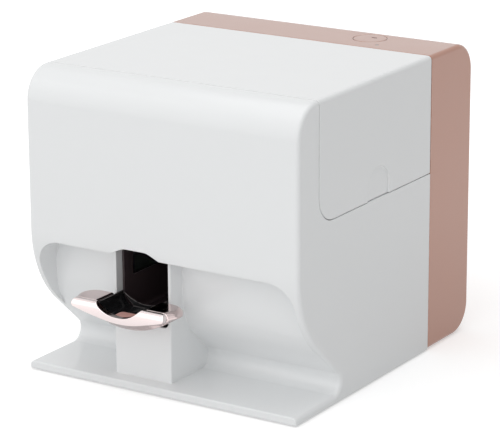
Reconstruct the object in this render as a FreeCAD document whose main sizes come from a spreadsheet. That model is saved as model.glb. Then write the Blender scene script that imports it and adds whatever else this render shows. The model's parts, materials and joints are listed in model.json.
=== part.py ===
import FreeCAD, Part
import math
import os
import re

import Sketcher

# Digital nail art printer, in millimetres.
#
# House frame used below: x runs across the printer (0 in its middle), y runs from the
# flat front face (0) to the back, z runs up from the underside of the base plate (0).
# At the end every piece gets one Placement, which puts the origin in the middle of the
# whole printer's footprint, on the surface that its feet stand on.

doc = FreeCAD.newDocument("nail_printer")
sheet = doc.addObject("Spreadsheet::Sheet", "sizes")
aliases = []


def sizes(**cells):
    """Write named sizes into the spreadsheet, one row each."""
    for name, number in cells.items():
        row = len(aliases) + 1
        sheet.set(f"A{row}", name)
        sheet.set(f"B{row}", str(number))
        sheet.setAlias(f"B{row}", name)
        aliases.append(name)


# ---------------------------------------------------------------- outer form
sizes(
    width=211.0,            # across both housings
    height=207.5,           # underside of the base plate to the flat top
    body_depth=228.8,       # front face to the back
    shell_split=170.6,      # joint between the white and the coloured housing
    wall=2.5,               # moulded wall
    edge_round=3.0,         # long side edges
    brow_round=22.0,        # top front edge
    chin_z=64.6,            # where the front face and the chin's slope would meet
    chin_round=75.0,
    heel_y=65.7,            # where the chin's slope would meet the base plate
    heel_round=8.0,
    plinth_ahead=3.2,       # base plate in front of the front face
    plinth_thick=5.5,
    plinth_round=1.0,
    rear_round=20.0,        # top and bottom rear edges
    foot_drop=1.0,          # feet below the base plate
    foot_radius=6.0,
    foot_recess=0.5,
    foot_side=92.0,
    foot_front_y=8.0,
    foot_rear_y=196.0,
)

# ------------------------------------------- hand recess, pedestal, finger slot
sizes(
    cave_half=100.3,
    cave_top=91.0,
    cave_back=22.4,
    cave_corner=18.0,
    cave_knee=53.0,         # where the recess leaves the vertical
    cave_bend=37.0,
    cave_foot_y=31.2,       # where it runs out into the chin's slope
    cave_foot_z=36.4,
    heel_back=55.5,         # inner wall behind the heel
    heel_back_z=18.1,
    shelf_z=97.5,           # floor of the front hollow over the recess
    finger_x=-20.3,         # middle of pedestal, slot and finger rest
    pedestal_half=22.5,
    pedestal_front=8.5,
    pedestal_wall=1.95,
    pedestal_face=2.5,
    pedestal_floor=7.5,
    slot_floor=43.4,
    slot_top=95.5,
    slot_corner=4.0,
    wave_half=19.0,         # arch in the chin over the slot
    wave_rise=4.5,
)

# ------------------------------------------------------------ cartridge cover
sizes(
    cover_front=24.5,
    cover_foot=126.0,       # lower edge of the side flap
    cover_corner=18.0,
    cover_skin=2.2,
    seam=0.5,
    ledge_in=6.0,           # ledge that the cover rests on: under the housing
    ledge_out=4.0,          # and out under the cover
    ledge_thick=1.7,
    hinge_inset=3.0,        # hinge axis in from the left side
    hinge_drop=8.5,         # and down from the top
    knuckle_radius=3.0,
    hinge_pin_radius=1.0,
    knuckle_front=2.0,      # first knuckle behind the cover's front edge
    knuckle_rear=6.0,       # last one in front of the rear housing
    knuckle_length=13.0,
    knuckle_gap=0.3,
    cover_wall_drop=3.8,    # left wall stops this far under the hinge axis
    notch_y=100.2,
    notch_half=13.8,
    notch_top=147.5,
    notch_deep=1.1,
    rib_thick=1.5,
    rib_deep=3.0,
)

# ---------------------------------------------------------------- finger rest
sizes(
    reach=21.0,             # nose of the rest in front of the front face
    rest_top_z=63.5,
    lip_thick=5.0,
    lip_gap=0.2,
    lip_half=36.4,
    lip_end_round=4.6,
    lip_low_tip_z=58.2,
    lip_low_round=2.0,
    lip_keel_z=48.2,        # where the two flanks would meet
    lip_brow=4.0,           # roll of the lip's top edge
    lip_break_z=56.0,       # from here down the lip leans back
    lip_bend=12.0,
    lip_lean=0.55,
    bow_half=36.8,          # front of the wings, behind the lip
    bow_low_tip_z=58.2,
    hull_y=-9.0,            # from here back the wings keep one section
    hull_half=40.0,
    hull_bend=10.0,
    hull_low_tip_z=58.8,
    hull_keel_z=35.4,
    keel_round=57.0,
    wing_roll=4.2,          # outer edges of the wings' top
    rest_rear_round=12.0,
    dip_half=18.0,
    dip_keel_z=43.6,
    dip_round=24.0,
    tray_side_gap=0.95,     # tray to the slot, each side
    tray_floor=51.2,
    tray_skin=1.2,
    tray_top=62.2,
    tray_corner=8.0,
    tray_end=14.7,
    tray_gap=0.2,
    rim_side_z=61.5,
    rim_slope=0.796,        # fall of the rims towards the middle
    rim_bend=1.586,         # their radius over half their width
    pad_inset=3.1,
    pad_front=-13.0,
    pad_rear=-3.0,
    pad_thick=1.6,
    slide_gap=2.8,          # finger rest to the pedestal
    slider_half=13.0,
    slider_front=11.4,
    slider_rear=18.8,
    slider_foot=26.0,
    slider_bore_top=50.2,
    guide_y=15.1,
    guide_half=9.0,
    guide_radius=1.5,
    guide_play=0.06,
    guide_top=45.6,
    spring_radius=2.5,
    spring_wire=0.7,        # square wire
    spring_turns=4.5,
    spring_seat=4.0,
)

# ----------------------------------------------------------- finger bed inside
sizes(
    liner_front=15.0,
    throat_rear=25.5,
    bed_rear=80.0,
    liner_gap=0.3,
    liner_skin=1.5,
    bed_wall_z=70.0,
    slot_half=20.55,
    liner_notch_half=16.0,
    liner_notch_rear=19.6,
)

# ------------------------------------------------------------- button and lamp
sizes(
    button_x=43.0,
    button_y=196.0,
    button_radius=11.6,
    button_hole=12.0,
    button_flange=13.4,
    button_flange_gap=0.3,  # flange under the wall
    button_flange_thick=1.4,
    button_stem=2.0,
    button_stem_drop=10.5,
    button_travel=0.8,
    mark_long=1.9,
    mark_wide=0.55,
    mark_ahead=3.0,
    mark_side=1.6,
    lamp_x=57.3,
    lamp_y=180.7,
    lamp_radius=1.3,
    lamp_play=0.05,
    panel_board_drop=16.4,
    panel_board_thick=1.6,
    panel_board_left=24.0,
    panel_board_right=63.0,
    panel_board_front=176.0,
    panel_board_rear=208.0,
    panel_post=2.5,
    panel_post_half=16.5,
    switch_half=3.0,
    switch_tall=3.6,
    plunger_radius=1.7,
)

# --------------------------------------------------------------------- chassis
sizes(
    pan_low=0.5,
    pan_thick=2.5,
    pan_gap=0.3,
    sheet_thick=1.5,
    chassis_gap=2.0,        # chassis to the housing wall, each side
    chassis_front=58.0,
    chassis_rear=172.0,
    chassis_side_top=124.0,
    chassis_rear_top=135.0,
    rail_x=93.0,
    rail_z=118.0,
    rail_radius=3.0,
    rail_front=62.0,
    rail_rear=170.0,
    block_long=6.0,
    block_half=8.0,
    running=0.05,           # radial play of shafts in their bushings
    seat_play=0.02,         # radial play of shafts in fixed seats
    screw_x=-77.0,
    screw_radius=4.0,
    screw_front=92.0,
    motor_radius=14.0,
    motor_long=22.0,
    flange_thick=2.0,
    nut_radius=6.0,
    nut_flange=8.5,
    nut_long=14.0,
)

# --------------------------------------------------------- gantry and carriage
sizes(
    beam_y=126.0,
    beam_half=88.0,
    beam_low=92.0,
    beam_top=150.0,
    beam_thick=2.0,
    cheek_front=100.0,
    cheek_rear=160.0,
    boss_half=7.0,
    boss_out=98.6,
    bush_radius=5.0,
    bush_long=16.0,
    shaft_y=118.0,
    shaft_low_z=100.0,
    shaft_low_radius=4.0,
    shaft_top_z=138.0,
    shaft_top_radius=3.0,
    pulley_z=120.0,
    pulley_radius=5.6,
    pulley_flange=7.6,
    pulley_front=118.4,
    pulley_long=6.0,
    pulley_rim=0.8,
    drive_x=74.0,
    idle_x=-62.0,
    belt_front=119.5,
    belt_wide=3.8,
    belt_thick=1.1,
    belt_gap=0.3,
    idle_pin=2.0,
    drive_shaft=1.5,
    x_motor_radius=11.5,
    strip_y=122.0,
    strip_thick=0.4,
    strip_low=145.0,
    strip_top=151.0,
    park_x=55.0,            # carriage over the service station
    carriage_half=22.5,
    carriage_wall=2.5,
    carriage_front=57.0,
    carriage_rear=112.0,
    carriage_low=78.5,
    carriage_top=146.0,
    carriage_front_top=104.0,
    collar_low=7.5,
    collar_top=5.5,
    carriage_bush=6.4,
    carriage_bush_long=10.0,
    bay_gap=0.4,            # cartridge to the carriage walls
    cartridge_top=134.0,
    cartridge_front_top=112.0,
    snout_half=8.5,
    snout_front=67.0,
    snout_rear=101.0,
    nozzle_z=75.0,
    nozzle_half=6.0,
    nozzle_thick=0.5,
    latch_y=106.5,
    latch_z=141.0,
    latch_barrel=3.0,
    latch_pin=1.2,
    latch_half=14.0,
    latch_thick=2.0,
    camera_y=77.0,
    camera_half=6.0,
    camera_low=84.0,
    camera_tall=14.0,
    camera_deep=9.0,
    lens_radius=3.2,
)

# ------------------------------------------- service station and electronics
sizes(
    station_half=17.0,
    station_front=62.0,
    station_rear=106.0,
    station_top=64.0,
    cap_half=8.0,
    cap_front=68.0,
    cap_rear=100.0,
    cap_gap=0.3,
    cap_base=3.5,
    wiper_x=33.5,
    wiper_thick=1.2,
    board_left=-20.0,
    board_right=90.0,
    board_y=214.0,
    board_thick=1.6,
    board_low=40.0,
    board_top=124.0,
    standoff_radius=3.0,
    inlet_x=70.0,
    inlet_z=30.0,
    inlet_radius=5.5,
    inlet_half=7.0,
)

doc.recompute()
pieces = []


def bind(text):
    """Point each named size in an expression at its cell of the sheet."""
    def point(word):
        return "sizes." + word.group(0) if word.group(0) in aliases else word.group(0)
    return re.sub(r"[a-z][a-z0-9_]*", point, text)


def value(text):
    """The number that an expression of named sizes gives now."""
    return float(sheet.evalExpression(bind(text)))


def piece(name):
    """A new sub-part: an empty body with its own label."""
    body = doc.addObject("PartDesign::Body", name)
    body.Label = name
    body.AllowCompound = True
    pieces.append(body)
    return body


# ------------------------------------------------------------ sketch helpers
def corner_points(corners):
    """For each corner: its point, and the start, end and centre of its round."""
    spots = [FreeCAD.Vector(value(c[0]), value(c[1]), 0) for c in corners]
    result = []
    for i, corner in enumerate(corners):
        spot = spots[i]
        if len(corner) == 2:
            result.append((spot, spot, spot, None, 0))
            continue
        radius = value(corner[2])
        back = (spots[i - 1] - spot).normalize()
        ahead = (spots[(i + 1) % len(spots)] - spot).normalize()
        half = back.getAngle(ahead) / 2
        reach = radius / math.tan(half)
        middle = (back + ahead).normalize()
        centre = spot + middle * (radius / math.sin(half))
        turn = back.cross(ahead).z
        result.append((spot, spot + back * reach, spot + ahead * reach, centre, turn))
    return result


def pin_point(sketch, geometry, end, across, up):
    """Fix one sketch point at two expressions."""
    for kind, text in (("DistanceX", across), ("DistanceY", up)):
        rule = Sketcher.Constraint(kind, -1, 1, geometry, end, value(text))
        number = sketch.addConstraint(rule)
        sketch.setExpression(f"Constraints[{number}]", bind(text))


def draw_outline(sketch, corners):
    """Closed outline through corners (across, up) or (across, up, radius)."""
    marks = corner_points(corners)
    count = len(corners)
    lines = []
    for i in range(count):
        line = Part.LineSegment(marks[i][2], marks[(i + 1) % count][1])
        lines.append(sketch.addGeometry(line))
    for i, corner in enumerate(corners):
        before, after = lines[i - 1], lines[i]
        spot, start, end, centre, turn = marks[i]
        if centre is None:
            sketch.addConstraint(Sketcher.Constraint("Coincident", before, 2, after, 1))
            pin_point(sketch, after, 1, corner[0], corner[1])
            continue
        radius = value(corner[2])
        first, last = (start, end) if turn < 0 else (end, start)
        begin = math.atan2(first.y - centre.y, first.x - centre.x)
        finish = math.atan2(last.y - centre.y, last.x - centre.x)
        circle = Part.Circle(centre, FreeCAD.Vector(0, 0, 1), radius)
        arc = sketch.addGeometry(Part.ArcOfCircle(circle, begin, finish))
        head, tail = (1, 2) if turn < 0 else (2, 1)
        sketch.addConstraint(Sketcher.Constraint("Tangent", before, 2, arc, head))
        sketch.addConstraint(Sketcher.Constraint("Tangent", after, 1, arc, tail))
        number = sketch.addConstraint(Sketcher.Constraint("Radius", arc, radius))
        sketch.setExpression(f"Constraints[{number}]", bind(corner[2]))
        ghost = sketch.addGeometry(Part.Point(spot), True)
        pin_point(sketch, ghost, 1, corner[0], corner[1])
        sketch.addConstraint(Sketcher.Constraint("PointOnObject", ghost, 1, before))
        sketch.addConstraint(Sketcher.Constraint("PointOnObject", ghost, 1, after))


def draw_circle(sketch, across, up, radius):
    """Circle with its centre and radius bound to expressions."""
    centre = FreeCAD.Vector(value(across), value(up), 0)
    circle = Part.Circle(centre, FreeCAD.Vector(0, 0, 1), value(radius))
    ring = sketch.addGeometry(circle)
    number = sketch.addConstraint(Sketcher.Constraint("Radius", ring, value(radius)))
    sketch.setExpression(f"Constraints[{number}]", bind(radius))
    pin_point(sketch, ring, 3, across, up)


def new_sketch(body, plane, height, side):
    """Sketch on one of the body's origin planes, moved along the plane's normal."""
    sketch = body.newObject("Sketcher::SketchObject", "Outline")
    features = body.Origin.OriginFeatures
    base = [f for f in features if f.Role == plane + "_Plane"][0]
    sketch.AttachmentSupport = [(base, "")]
    sketch.MapMode = "FlatFace"
    sign = "-" if side < 0 else ""
    sketch.setExpression(".AttachmentOffset.Base.z", bind(f"{sign}({height})"))
    return sketch


def extrude(body, kind, plane, low, high, draw):
    """Pad or pocket between two heights along the plane's axis (XZ: the y axis)."""
    flipped = plane == "XZ"
    start = high if flipped == (kind == "Pad") else low
    sketch = new_sketch(body, plane, start, -1 if flipped else 1)
    draw(sketch)
    feature = body.newObject("PartDesign::" + kind, kind)
    feature.Profile = sketch
    feature.setExpression("Length", bind(f"({high}) - ({low})"))
    body.Tip = feature
    return feature


def add(body, plane, low, high, corners, hole=None):
    """Add an extruded outline, with an optional second outline left open in it."""
    def draw(sketch):
        draw_outline(sketch, corners)
        if hole:
            draw_outline(sketch, hole)
    return extrude(body, "Pad", plane, low, high, draw)


def cut(body, plane, low, high, corners):
    """Cut an extruded outline."""
    return extrude(body, "Pocket", plane, low, high, lambda s: draw_outline(s, corners))


def carve_loft(body, plane, low, first, high, second):
    """Cut a straight-sided loft between two outlines at two heights."""
    sketches = []
    for height, corners in ((low, first), (high, second)):
        sketches.append(new_sketch(body, plane, height, -1 if plane == "XZ" else 1))
        draw_outline(sketches[-1], corners)
    feature = body.newObject("PartDesign::SubtractiveLoft", "Loft")
    feature.Profile = sketches[0]
    feature.Sections = [sketches[1]]
    feature.Ruled = True
    body.Tip = feature


def rod(body, plane, low, high, across, up, radius, bore=None):
    """Add a round bar, or a tube if it has a bore."""
    def draw(sketch):
        draw_circle(sketch, across, up, radius)
        if bore:
            draw_circle(sketch, across, up, bore)
    return extrude(body, "Pad", plane, low, high, draw)


def drill(body, plane, low, high, across, up, radius):
    """Cut a round hole."""
    return extrude(body, "Pocket", plane, low, high,
                   lambda s: draw_circle(s, across, up, radius))


def box(left, low, right, top, radius=None):
    """Corners of an upright rectangle, all rounded if a radius is given."""
    corners = [(left, low), (right, low), (right, top), (left, top)]
    return [c + (radius,) for c in corners] if radius else corners


def about(middle, half):
    """The two expressions at a half width to each side of a middle."""
    return f"{middle} - ({half})", f"{middle} + ({half})"


def soften(body, radius, chosen):
    """Round the edges of the body so far that the test chooses."""
    doc.recompute()
    base = body.Tip
    names = [f"Edge{i + 1}" for i, edge in enumerate(base.Shape.Edges) if chosen(edge)]
    feature = body.newObject("PartDesign::Fillet", "Fillet")
    feature.Base = (base, names)
    feature.setExpression("Radius", bind(radius))
    body.Tip = feature
    return feature


def near(number, text, slack=0.02):
    """Whether a number equals an expression of named sizes."""
    return abs(number - value(text)) < slack


# ------------------------------------------------------------- front housing
# One moulding: flat front, chin that sweeps back into a concave heel and runs out
# into the base plate, hand recess under the chin, pedestal with the finger slot.
top_inside = "height - wall"
inside = "width/2 - wall"
hinge_x = "-width/2 + hinge_inset"
hinge_z = "height - hinge_drop"
cover_rear = "shell_split - seam"

front = piece("front_housing")
add(front, "YZ", "-width/2", "width/2", [
    ("shell_split", "0"),
    ("shell_split", "height"),
    ("0", "height", "brow_round"),
    ("0", "chin_z", "chin_round"),
    ("heel_y", "plinth_thick", "heel_round"),
    ("-plinth_ahead", "plinth_thick"),
    ("-plinth_ahead", "0"),
])


def side_edge(edge):
    """Long edges of the front housing's two sides, without the rear and the underside."""
    bounds = edge.BoundBox
    on_side = near(abs(bounds.Center.x), "width/2") and bounds.XLength < 0.01
    rear_edge = near(bounds.YMin, "shell_split")
    foot_edge = near(bounds.ZMax, "0")
    nose_edge = near(bounds.YMax, "-plinth_ahead")
    return on_side and not (rear_edge or foot_edge or nose_edge)


soften(front, "edge_round", side_edge)

# hand recess: straight roof and back, then it runs out into the slope of the chin
cut(front, "YZ", "-cave_half", "cave_half", [
    ("-4", "cave_top"),
    ("cave_back", "cave_top"),
    ("cave_back", "cave_knee", "cave_bend"),
    ("cave_foot_y", "cave_foot_z"),
    ("-4", "cave_foot_z"),
])


def cave_corner_edge(edge):
    """The two upper corners of the recess, which run from front to back."""
    bounds = edge.BoundBox
    along = bounds.YLength > 5 and bounds.XLength < 0.01 and bounds.ZLength < 0.01
    return along and near(bounds.ZMax, "cave_top") and near(abs(bounds.XMax), "cave_half")


soften(front, "cave_corner", cave_corner_edge)

pedestal_left, pedestal_right = about("finger_x", "pedestal_half")
add(front, "XY", "pan_low", "shelf_z", [
    (pedestal_left, "pedestal_front", "1"),
    (pedestal_right, "pedestal_front", "1"),
    (pedestal_right, "heel_back + 2"),
    (pedestal_left, "heel_back + 2"),
])

# hollow for the works, open to the rear housing and, behind the heel, to the base pan
cut(front, "YZ", f"-({inside})", inside, [
    ("shell_split + 1", "-1"),
    ("shell_split + 1", top_inside),
    ("wall", top_inside, "brow_round - wall"),
    ("wall", "shelf_z"),
    ("cave_back + wall", "shelf_z"),
    ("cave_back + wall", "cave_knee + 1.5"),
    ("cave_foot_y + wall", "cave_foot_z + 1.5"),
    ("heel_back", "heel_back_z"),
    ("heel_back", "-1"),
])

# inside of the pedestal, the finger slot and the arch of the chin over it
hollow_left, hollow_right = about("finger_x", "pedestal_half - pedestal_wall")
cut(front, "XY", "pedestal_floor", "slot_floor + slot_corner",
    box(hollow_left, "pedestal_front + pedestal_face", hollow_right, "heel_back + 3"))
slot_left, slot_right = about("finger_x", "slot_half")
cut(front, "XZ", "-1", "cave_foot_y + wall + 1", [
    (slot_left, "slot_floor", "slot_corner"),
    (slot_right, "slot_floor", "slot_corner"),
    (slot_right, "cave_top"),
    (slot_left, "cave_top"),
])
cut(front, "XZ", "pedestal_front - 1", "cave_back + wall + 1",
    box(slot_left, "cave_top - 1", slot_right, "slot_top"))
cut(front, "XZ", "-1", "pedestal_front", [
    ("finger_x - wave_half - 4", "cave_top - 1"),
    ("finger_x - wave_half", "cave_top", "8"),
    ("finger_x - wave_half/2", "cave_top + wave_rise", "12"),
    ("finger_x + wave_half/2", "cave_top + wave_rise", "12"),
    ("finger_x + wave_half", "cave_top", "8"),
    ("finger_x + wave_half + 4", "cave_top - 1"),
])

# opening for the cartridge cover: top, right side and the hinge line on the left
cut(front, "XY", f"{top_inside} - 0.01", "height + 1",
    box("-width/2 - 1", "cover_front", "width/2 + 1", "shell_split + 1"))
cut(front, "YZ", f"{inside} - 0.01", "width/2 + 1", [
    ("cover_front", "height + 1"),
    ("cover_front", "cover_foot", "cover_corner"),
    ("shell_split + 1", "cover_foot"),
    ("shell_split + 1", "height + 1"),
])
cut(front, "XY", f"{hinge_z} - cover_wall_drop", "height + 1",
    box("-width/2 - 1", "cover_front", f"-({inside}) + 0.01", "shell_split + 1"))

# ledge that the cover rests on: across under the brow, down and along under the flap
add(front, "XY", f"{top_inside} - ledge_thick", top_inside,
    box(f"-({inside})", "cover_front - ledge_in", inside, "cover_front + ledge_out"))
add(front, "YZ", f"{inside} - ledge_thick", inside, [
    ("cover_front - ledge_out", f"{top_inside} - 0.5"),
    ("cover_front - ledge_out", "cover_foot - ledge_out", "cover_corner"),
    ("shell_split - 6", "cover_foot - ledge_out"),
    ("shell_split - 6", "cover_foot + ledge_out"),
    ("cover_front + ledge_out", "cover_foot + ledge_out", "cover_corner - ledge_out"),
    ("cover_front + ledge_out", f"{top_inside} - 0.5"),
])

# knuckles of the cover's hinge on the left wall
knuckle_a = ("cover_front + knuckle_front", "cover_front + knuckle_front + knuckle_length")
knuckle_b = ("shell_split - knuckle_rear - knuckle_length", "shell_split - knuckle_rear")
for start, end in (knuckle_a, knuckle_b):
    add(front, "XZ", start, end, box(
        "-width/2", f"{hinge_z} - cover_wall_drop - 3", f"{hinge_x} + 0.5", hinge_z))
    rod(front, "XZ", start, end, hinge_x, hinge_z, "knuckle_radius")
drill(front, "XZ", "cover_front", "shell_split", hinge_x, hinge_z,
      "hinge_pin_radius + running")

# round recesses for the front feet
for side in ("-", ""):
    drill(front, "XY", "-1", "foot_recess", f"{side}foot_side", "foot_front_y",
          "foot_radius + 0.2")


def plate_edge(edge):
    """Front edges of the base plate, top and bottom."""
    bounds = edge.BoundBox
    return near(bounds.YMax, "-plinth_ahead") and bounds.XLength > 100


soften(front, "plinth_round", plate_edge)

# --------------------------------------------------------------- rear housing
rear = piece("rear_housing")
add(rear, "YZ", "-width/2", "width/2", [
    ("shell_split", "0"),
    ("body_depth", "0", "rear_round"),
    ("body_depth", "height", "rear_round"),
    ("shell_split", "height"),
])


def rear_side_edge(edge):
    """Long edges of the rear housing's two sides, without those at the joint."""
    bounds = edge.BoundBox
    on_side = near(abs(bounds.Center.x), "width/2") and bounds.XLength < 0.01
    return on_side and not near(bounds.YMax, "shell_split")


soften(rear, "edge_round", rear_side_edge)
cut(rear, "YZ", f"-({inside})", inside, [
    ("shell_split - 1", "wall"),
    ("body_depth - wall", "wall", "rear_round - wall"),
    ("body_depth - wall", top_inside, "rear_round - wall"),
    ("shell_split - 1", top_inside),
])


def collar(low, high, out):
    """Upside-down U of the tongue that reaches into the front housing."""
    span = f"({inside} - {out})"
    roof = f"({top_inside} - {out})"
    add(rear, "XZ", low, high, [
        (f"-{span}", "6"),
        (f"-{span}", roof),
        (span, roof),
        (span, "6"),
        (f"{span} - 1.5", "6"),
        (f"{span} - 1.5", f"{roof} - 1.5"),
        (f"-{span} + 1.5", f"{roof} - 1.5"),
        (f"-{span} + 1.5", "6"),
    ])


collar("shell_split", "shell_split + 3", "0")
collar("shell_split - 4.5", "shell_split + 1", "0.4")
cut(rear, "XZ", "shell_split - 5", "shell_split",
    box("-width/2 - 1", f"{hinge_z} - 7", f"{hinge_x} + 5", "height + 1"))
drill(rear, "XY", f"{top_inside} - 2", "height + 1", "button_x", "button_y", "button_hole")
drill(rear, "XY", f"{top_inside} - 2", "height + 1", "lamp_x", "lamp_y",
      "lamp_radius + lamp_play")
drill(rear, "XZ", "body_depth - wall - 1", "body_depth + 1", "inlet_x", "inlet_z",
      "inlet_radius + lamp_play")
for side in ("-", "+"):
    rod(rear, "XY", "height - panel_board_drop", f"{top_inside} + 0.5",
        f"button_x {side} panel_post_half", "button_y", "panel_post")
for side in ("-", ""):
    drill(rear, "XY", "-1", "foot_recess", f"{side}foot_side", "foot_rear_y",
          "foot_radius + 0.2")

# ------------------------------------------------------------ cartridge cover
# L-shaped lid: top panel and right flap in one, hinged along its left edge.
cover = piece("cartridge_cover")
flap_in = "width/2 - cover_skin"
lid_under = "height - cover_skin"
add(cover, "XY", lid_under, "height",
    box("-width/2", "cover_front + seam", "width/2", cover_rear))
add(cover, "YZ", flap_in, "width/2", [
    ("cover_front + seam", "height"),
    ("cover_front + seam", "cover_foot + seam", "cover_corner - seam"),
    (cover_rear, "cover_foot + seam"),
    (cover_rear, "height"),
])
add(cover, "YZ", "-width/2", "-width/2 + cover_skin",
    box("cover_front + seam", hinge_z, cover_rear, "height"))


def cover_edge(edge):
    """The two long outer edges of the cover, left and right of the top panel."""
    bounds = edge.BoundBox
    long = bounds.YLength > 50 and near(bounds.ZMax, "height")
    return long and near(abs(bounds.XMax), "width/2") and bounds.XLength < 0.01


soften(cover, "edge_round", cover_edge)

# shallow finger scoop in the flap, open at the seam
cut(cover, "YZ", "width/2 - notch_deep", "width/2 + 1", [
    ("notch_y - notch_half", "cover_foot - 1"),
    ("notch_y + notch_half", "cover_foot - 1"),
    ("notch_y + notch_half", "notch_top", "notch_half - 0.1"),
    ("notch_y - notch_half", "notch_top", "notch_half - 0.1"),
])

# stiffening ribs under the top panel
for place in ("0.25", "0.5", "0.75"):
    middle = f"(cover_front + (shell_split - cover_front) * {place})"
    add(cover, "XY", f"{lid_under} - rib_deep", f"{lid_under} + 0.1",
        box(f"{hinge_x} + 8", middle, f"{flap_in} - 3", f"{middle} + rib_thick"))

# long knuckle between the two of the housing, and room for those
barrel_start = f"{knuckle_a[1]} + knuckle_gap"
barrel_end = f"{knuckle_b[0]} - knuckle_gap"
for start, end in (knuckle_a, knuckle_b):
    cut(cover, "XZ", f"{start} - knuckle_gap", f"{end} + knuckle_gap", box(
        "-width/2 - 1", f"{hinge_z} - 1",
        f"{hinge_x} + knuckle_radius + 1", f"{hinge_z} + knuckle_radius + 0.5"))
rod(cover, "XZ", barrel_start, barrel_end, hinge_x, hinge_z, "knuckle_radius")
drill(cover, "XZ", "cover_front", "shell_split", hinge_x, hinge_z,
      "hinge_pin_radius + running")

hinge_pin = piece("hinge_pin")
rod(hinge_pin, "XZ", knuckle_a[0], knuckle_b[1], hinge_x, hinge_z, "hinge_pin_radius")

# ---------------------------------------------------- pan, feet and slot lining
pan = piece("base_pan")
pan_side = f"({inside} - pan_gap)"
pan_top = "(pan_low + pan_thick)"
add(pan, "XY", "pan_low", pan_top,
    box(f"-{pan_side}", "heel_back + pan_gap", pan_side, "shell_split - pan_gap"))

feet = piece("rubber_feet")
for side in ("-", ""):
    for place in ("foot_front_y", "foot_rear_y"):
        rod(feet, "XY", "-foot_drop", "foot_recess", f"{side}foot_side", place,
            "foot_radius")

# dark lining: a throat in the slot, then an open trough for the finger behind it
liner = piece("slot_liner")
liner_half = "(slot_half - liner_gap)"
liner_low = "(slot_floor + liner_gap)"
liner_left, liner_right = about("finger_x", liner_half)
lined_left, lined_right = about("finger_x", f"{liner_half} - liner_skin")
add(liner, "YZ", liner_left, liner_right, [
    ("liner_front", liner_low),
    ("bed_rear", liner_low),
    ("bed_rear", "bed_wall_z"),
    ("throat_rear", "bed_wall_z"),
    ("throat_rear", "slot_top - liner_gap"),
    ("liner_front", "slot_top - liner_gap"),
])


def liner_foot_edge(edge):
    """Lower long edges of the lining, which lie in the slot's round corners."""
    bounds = edge.BoundBox
    return bounds.YLength > 20 and near(bounds.ZMax, liner_low) and bounds.XLength < 0.01


soften(liner, "slot_corner", liner_foot_edge)
cut(liner, "XZ", "liner_front - 1", "bed_rear - liner_skin", [
    (lined_left, f"{liner_low} + liner_skin", "slot_corner - liner_skin"),
    (lined_right, f"{liner_low} + liner_skin", "slot_corner - liner_skin"),
    (lined_right, "slot_top - liner_gap - liner_skin"),
    (lined_left, "slot_top - liner_gap - liner_skin"),
])
gate_left, gate_right = about("finger_x", "liner_notch_half")
cut(liner, "XY", f"{liner_low} - 1", f"{liner_low} + liner_skin + 0.1",
    box(gate_left, "liner_front - 1", gate_right, "liner_notch_rear"))

# ---------------------------------------------------------------- finger rest
# Smile-shaped rest: chromed wings, a chromed lip in front of them, a dark tray
# between the wings and a soft pad in it. It floats on a spring in the pedestal.
rest_seam = "(-reach + lip_thick)"
rest_rear = "(pedestal_front - slide_gap)"
rest_deep = "(hull_keel_z - 2)"
tray_half = "(slot_half - tray_side_gap)"
bay_left, bay_right = about("finger_x", f"{tray_half} + tray_gap")
bay_floor = "(tray_floor - tray_gap)"
bow_left, bow_right = about("finger_x", "bow_half")
hull_left, hull_right = about("finger_x", "hull_half")
lip_left, lip_right = about("finger_x", "lip_half")


def space_under(half, low_tip, keel):
    """Outline under the flanks, which rise from a round keel to the sides."""
    rise = f"2 * ({low_tip} - {keel}) / {half}"
    left, right = about("finger_x", f"{half} + 2")
    return [
        (left, rest_deep),
        (left, f"{low_tip} + {rise}"),
        ("finger_x", keel, "keel_round"),
        (right, f"{low_tip} + {rise}"),
        (right, rest_deep),
    ]


wings = piece("finger_rest_wings")
wing_front = "(-reach + lip_thick + lip_gap)"
add(wings, "XY", rest_deep, "rest_top_z", [
    (bow_left, wing_front),
    (bow_right, wing_front),
    (hull_right, "hull_y", "hull_bend"),
    (hull_right, rest_rear, "rest_rear_round"),
    (hull_left, rest_rear, "rest_rear_round"),
    (hull_left, "hull_y", "hull_bend"),
])
carve_loft(wings, "XZ", wing_front, space_under("bow_half", "bow_low_tip_z", "lip_keel_z"),
           "hull_y", space_under("hull_half", "hull_low_tip_z", "hull_keel_z"))
cut(wings, "XZ", "hull_y", f"{rest_rear} + 1",
    space_under("hull_half", "hull_low_tip_z", "hull_keel_z"))


def outer_top_edge(edge):
    """Edges round the top, but not the one behind the lip."""
    bounds = edge.BoundBox
    on_top = near(bounds.ZMin, "rest_top_z")
    return on_top and not near(bounds.YMax, wing_front)


soften(wings, "wing_roll", outer_top_edge)
cut(wings, "XZ", "-reach", "pedestal_front", [
    (bay_left, "rest_top_z + 1"),
    (bay_left, bay_floor, "tray_corner"),
    (bay_right, bay_floor, "tray_corner"),
    (bay_right, "rest_top_z + 1"),
])

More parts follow.
